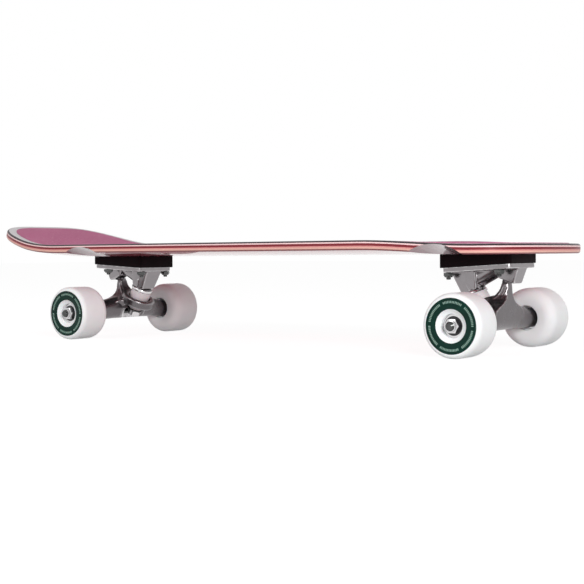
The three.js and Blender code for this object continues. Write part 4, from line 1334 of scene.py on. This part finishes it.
for name, x, y, _, localX in boltPlaces:
    top = lockNutTop(localX)
    tip = top - lockNutShape["height"] - lockNutShape["collar"] - boltShape["tipReach"]
    place = Matrix.Translation((x, y, 0))
    makePiece(f"{name}_screw", makeBoltShape(tip), "board", [dullSteel], [f"{name}_bolt"], place)
    makePiece(f"{name}_hexnut", makeLockNutShape(top), "board", [dullSteel],
              [f"{name}_lock_nut"], place)
print("kingpins, bushings and bolts ready")

# Spacers inside the wheels keep their own solids
for end in ends:
    for sideName in sides:
        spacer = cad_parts[f"{end}_{sideName}_bearing_spacer"]
        spacer.data.materials.clear()
        spacer.data.materials.append(dullSteel)


# Camera, lights, floor and the pale world
cameraShape = {
    "place": (0.80465, -1.04229, 0.09598),
    "turn": math.radians(36.19),
    "down": math.radians(1.83),
    "roll": math.radians(-0.445),
    "focalPixels": 1188.67,
    "imagePixels": 584,
    "sensorWidth": 36,
}


def addCamera():
    c = cameraShape
    right = Vector((math.cos(c["turn"]), math.sin(c["turn"]), 0))
    ahead = Vector((-math.sin(c["turn"]) * math.cos(c["down"]),
                    math.cos(c["turn"]) * math.cos(c["down"]), -math.sin(c["down"])))
    up = right.cross(ahead)
    rolledRight = right * math.cos(c["roll"]) + up * math.sin(c["roll"])
    rolledUp = up * math.cos(c["roll"]) - right * math.sin(c["roll"])
    data = bpy.data.cameras.new("photoCamera")
    data.sensor_width = c["sensorWidth"]
    data.lens = c["sensorWidth"] * c["focalPixels"] / c["imagePixels"]
    camera = addObject("photoCamera", data)
    axes = Matrix((rolledRight, rolledUp, -ahead)).transposed().to_4x4()
    camera.matrix_world = Matrix.Translation(c["place"]) @ axes
    bpy.context.scene.camera = camera


studio = {
    "worldLight": 0.37,
    "lampTarget": (0.05, 0, 0.06),
    "lamps": {
        "keyLamp": {"place": (1.7, -1.3, 0.6), "size": 0.9, "power": 28},
        "sideLamp": {"place": (-0.5, -1.9, 1.2), "size": 1.3, "power": 12},
    },
    "floorShow": 0.9,
    "floorShade": 0.22,
    "floorBounce": 0.64,
    "floorSize": 12,
}


def addLamp(name, place, size, power):
    data = bpy.data.lights.new(name, "AREA")
    data.shape = "DISK"
    data.size = size
    data.energy = power
    facingTarget = (Vector(studio["lampTarget"]) - Vector(place)).to_track_quat("-Z", "Y")
    addObject(name, data).matrix_world = Matrix.Translation(place) @ facingTarget.to_matrix().to_4x4()


# White to the camera and in reflections, dimmer as a light
def addWorld():
    world = bpy.data.worlds.new("paleStudio")
    world.use_nodes = True
    bpy.context.scene.world = world
    tree = world.node_tree
    seen = addNode(tree, "ShaderNodeLightPath").outputs
    shown = calc(tree, "MAXIMUM", calc(tree, "MAXIMUM", seen["Is Camera Ray"], seen["Is Glossy Ray"]),
                 seen["Is Transmission Ray"])
    strength = addNode(tree, "ShaderNodeMapRange", {"Value": shown, "To Min": studio["worldLight"]})
    fillSockets(tree.nodes["Background"], {"Color": (1, 1, 1, 1), "Strength": strength.outputs[0]})


# The floor glows a little for the camera, so it reads as white and still keeps the shadow
def addFloor():
    bm = bmesh.new()
    bmesh.ops.create_grid(bm, x_segments=1, y_segments=1, size=studio["floorSize"])
    mesh = bpy.data.meshes.new("floor")
    bm.to_mesh(mesh)
    bm.free()
    floor = addObject("floor", mesh)
    material = bpy.data.materials.new("paleFloor")
    material.use_nodes = True
    tree = material.node_tree
    tree.nodes.clear()
    seen = addNode(tree, "ShaderNodeLightPath").outputs
    glow = addNode(tree, "ShaderNodeEmission", {"Color": (1, 1, 1, 1), "Strength": studio["floorShow"]})
    matte, plain = (addNode(tree, "ShaderNodeBsdfDiffuse", {"Color": (shade, shade, shade, 1)})
                    for shade in (studio["floorShade"], studio["floorBounce"]))
    both = addNode(tree, "ShaderNodeAddShader", {0: glow.outputs[0], 1: matte.outputs[0]})
    shown = calc(tree, "MAXIMUM", seen["Is Camera Ray"], seen["Is Glossy Ray"])
    choose = addNode(tree, "ShaderNodeMixShader", {0: shown, 1: plain.outputs[0], 2: both.outputs[0]})
    addNode(tree, "ShaderNodeOutputMaterial", {"Surface": choose.outputs[0]})
    mesh.materials.append(material)


addCamera()
for name, lamp in studio["lamps"].items():
    addLamp(name, **lamp)
addWorld()
addFloor()
bpy.context.scene.view_settings.view_transform = "Standard"
print("studio ready")
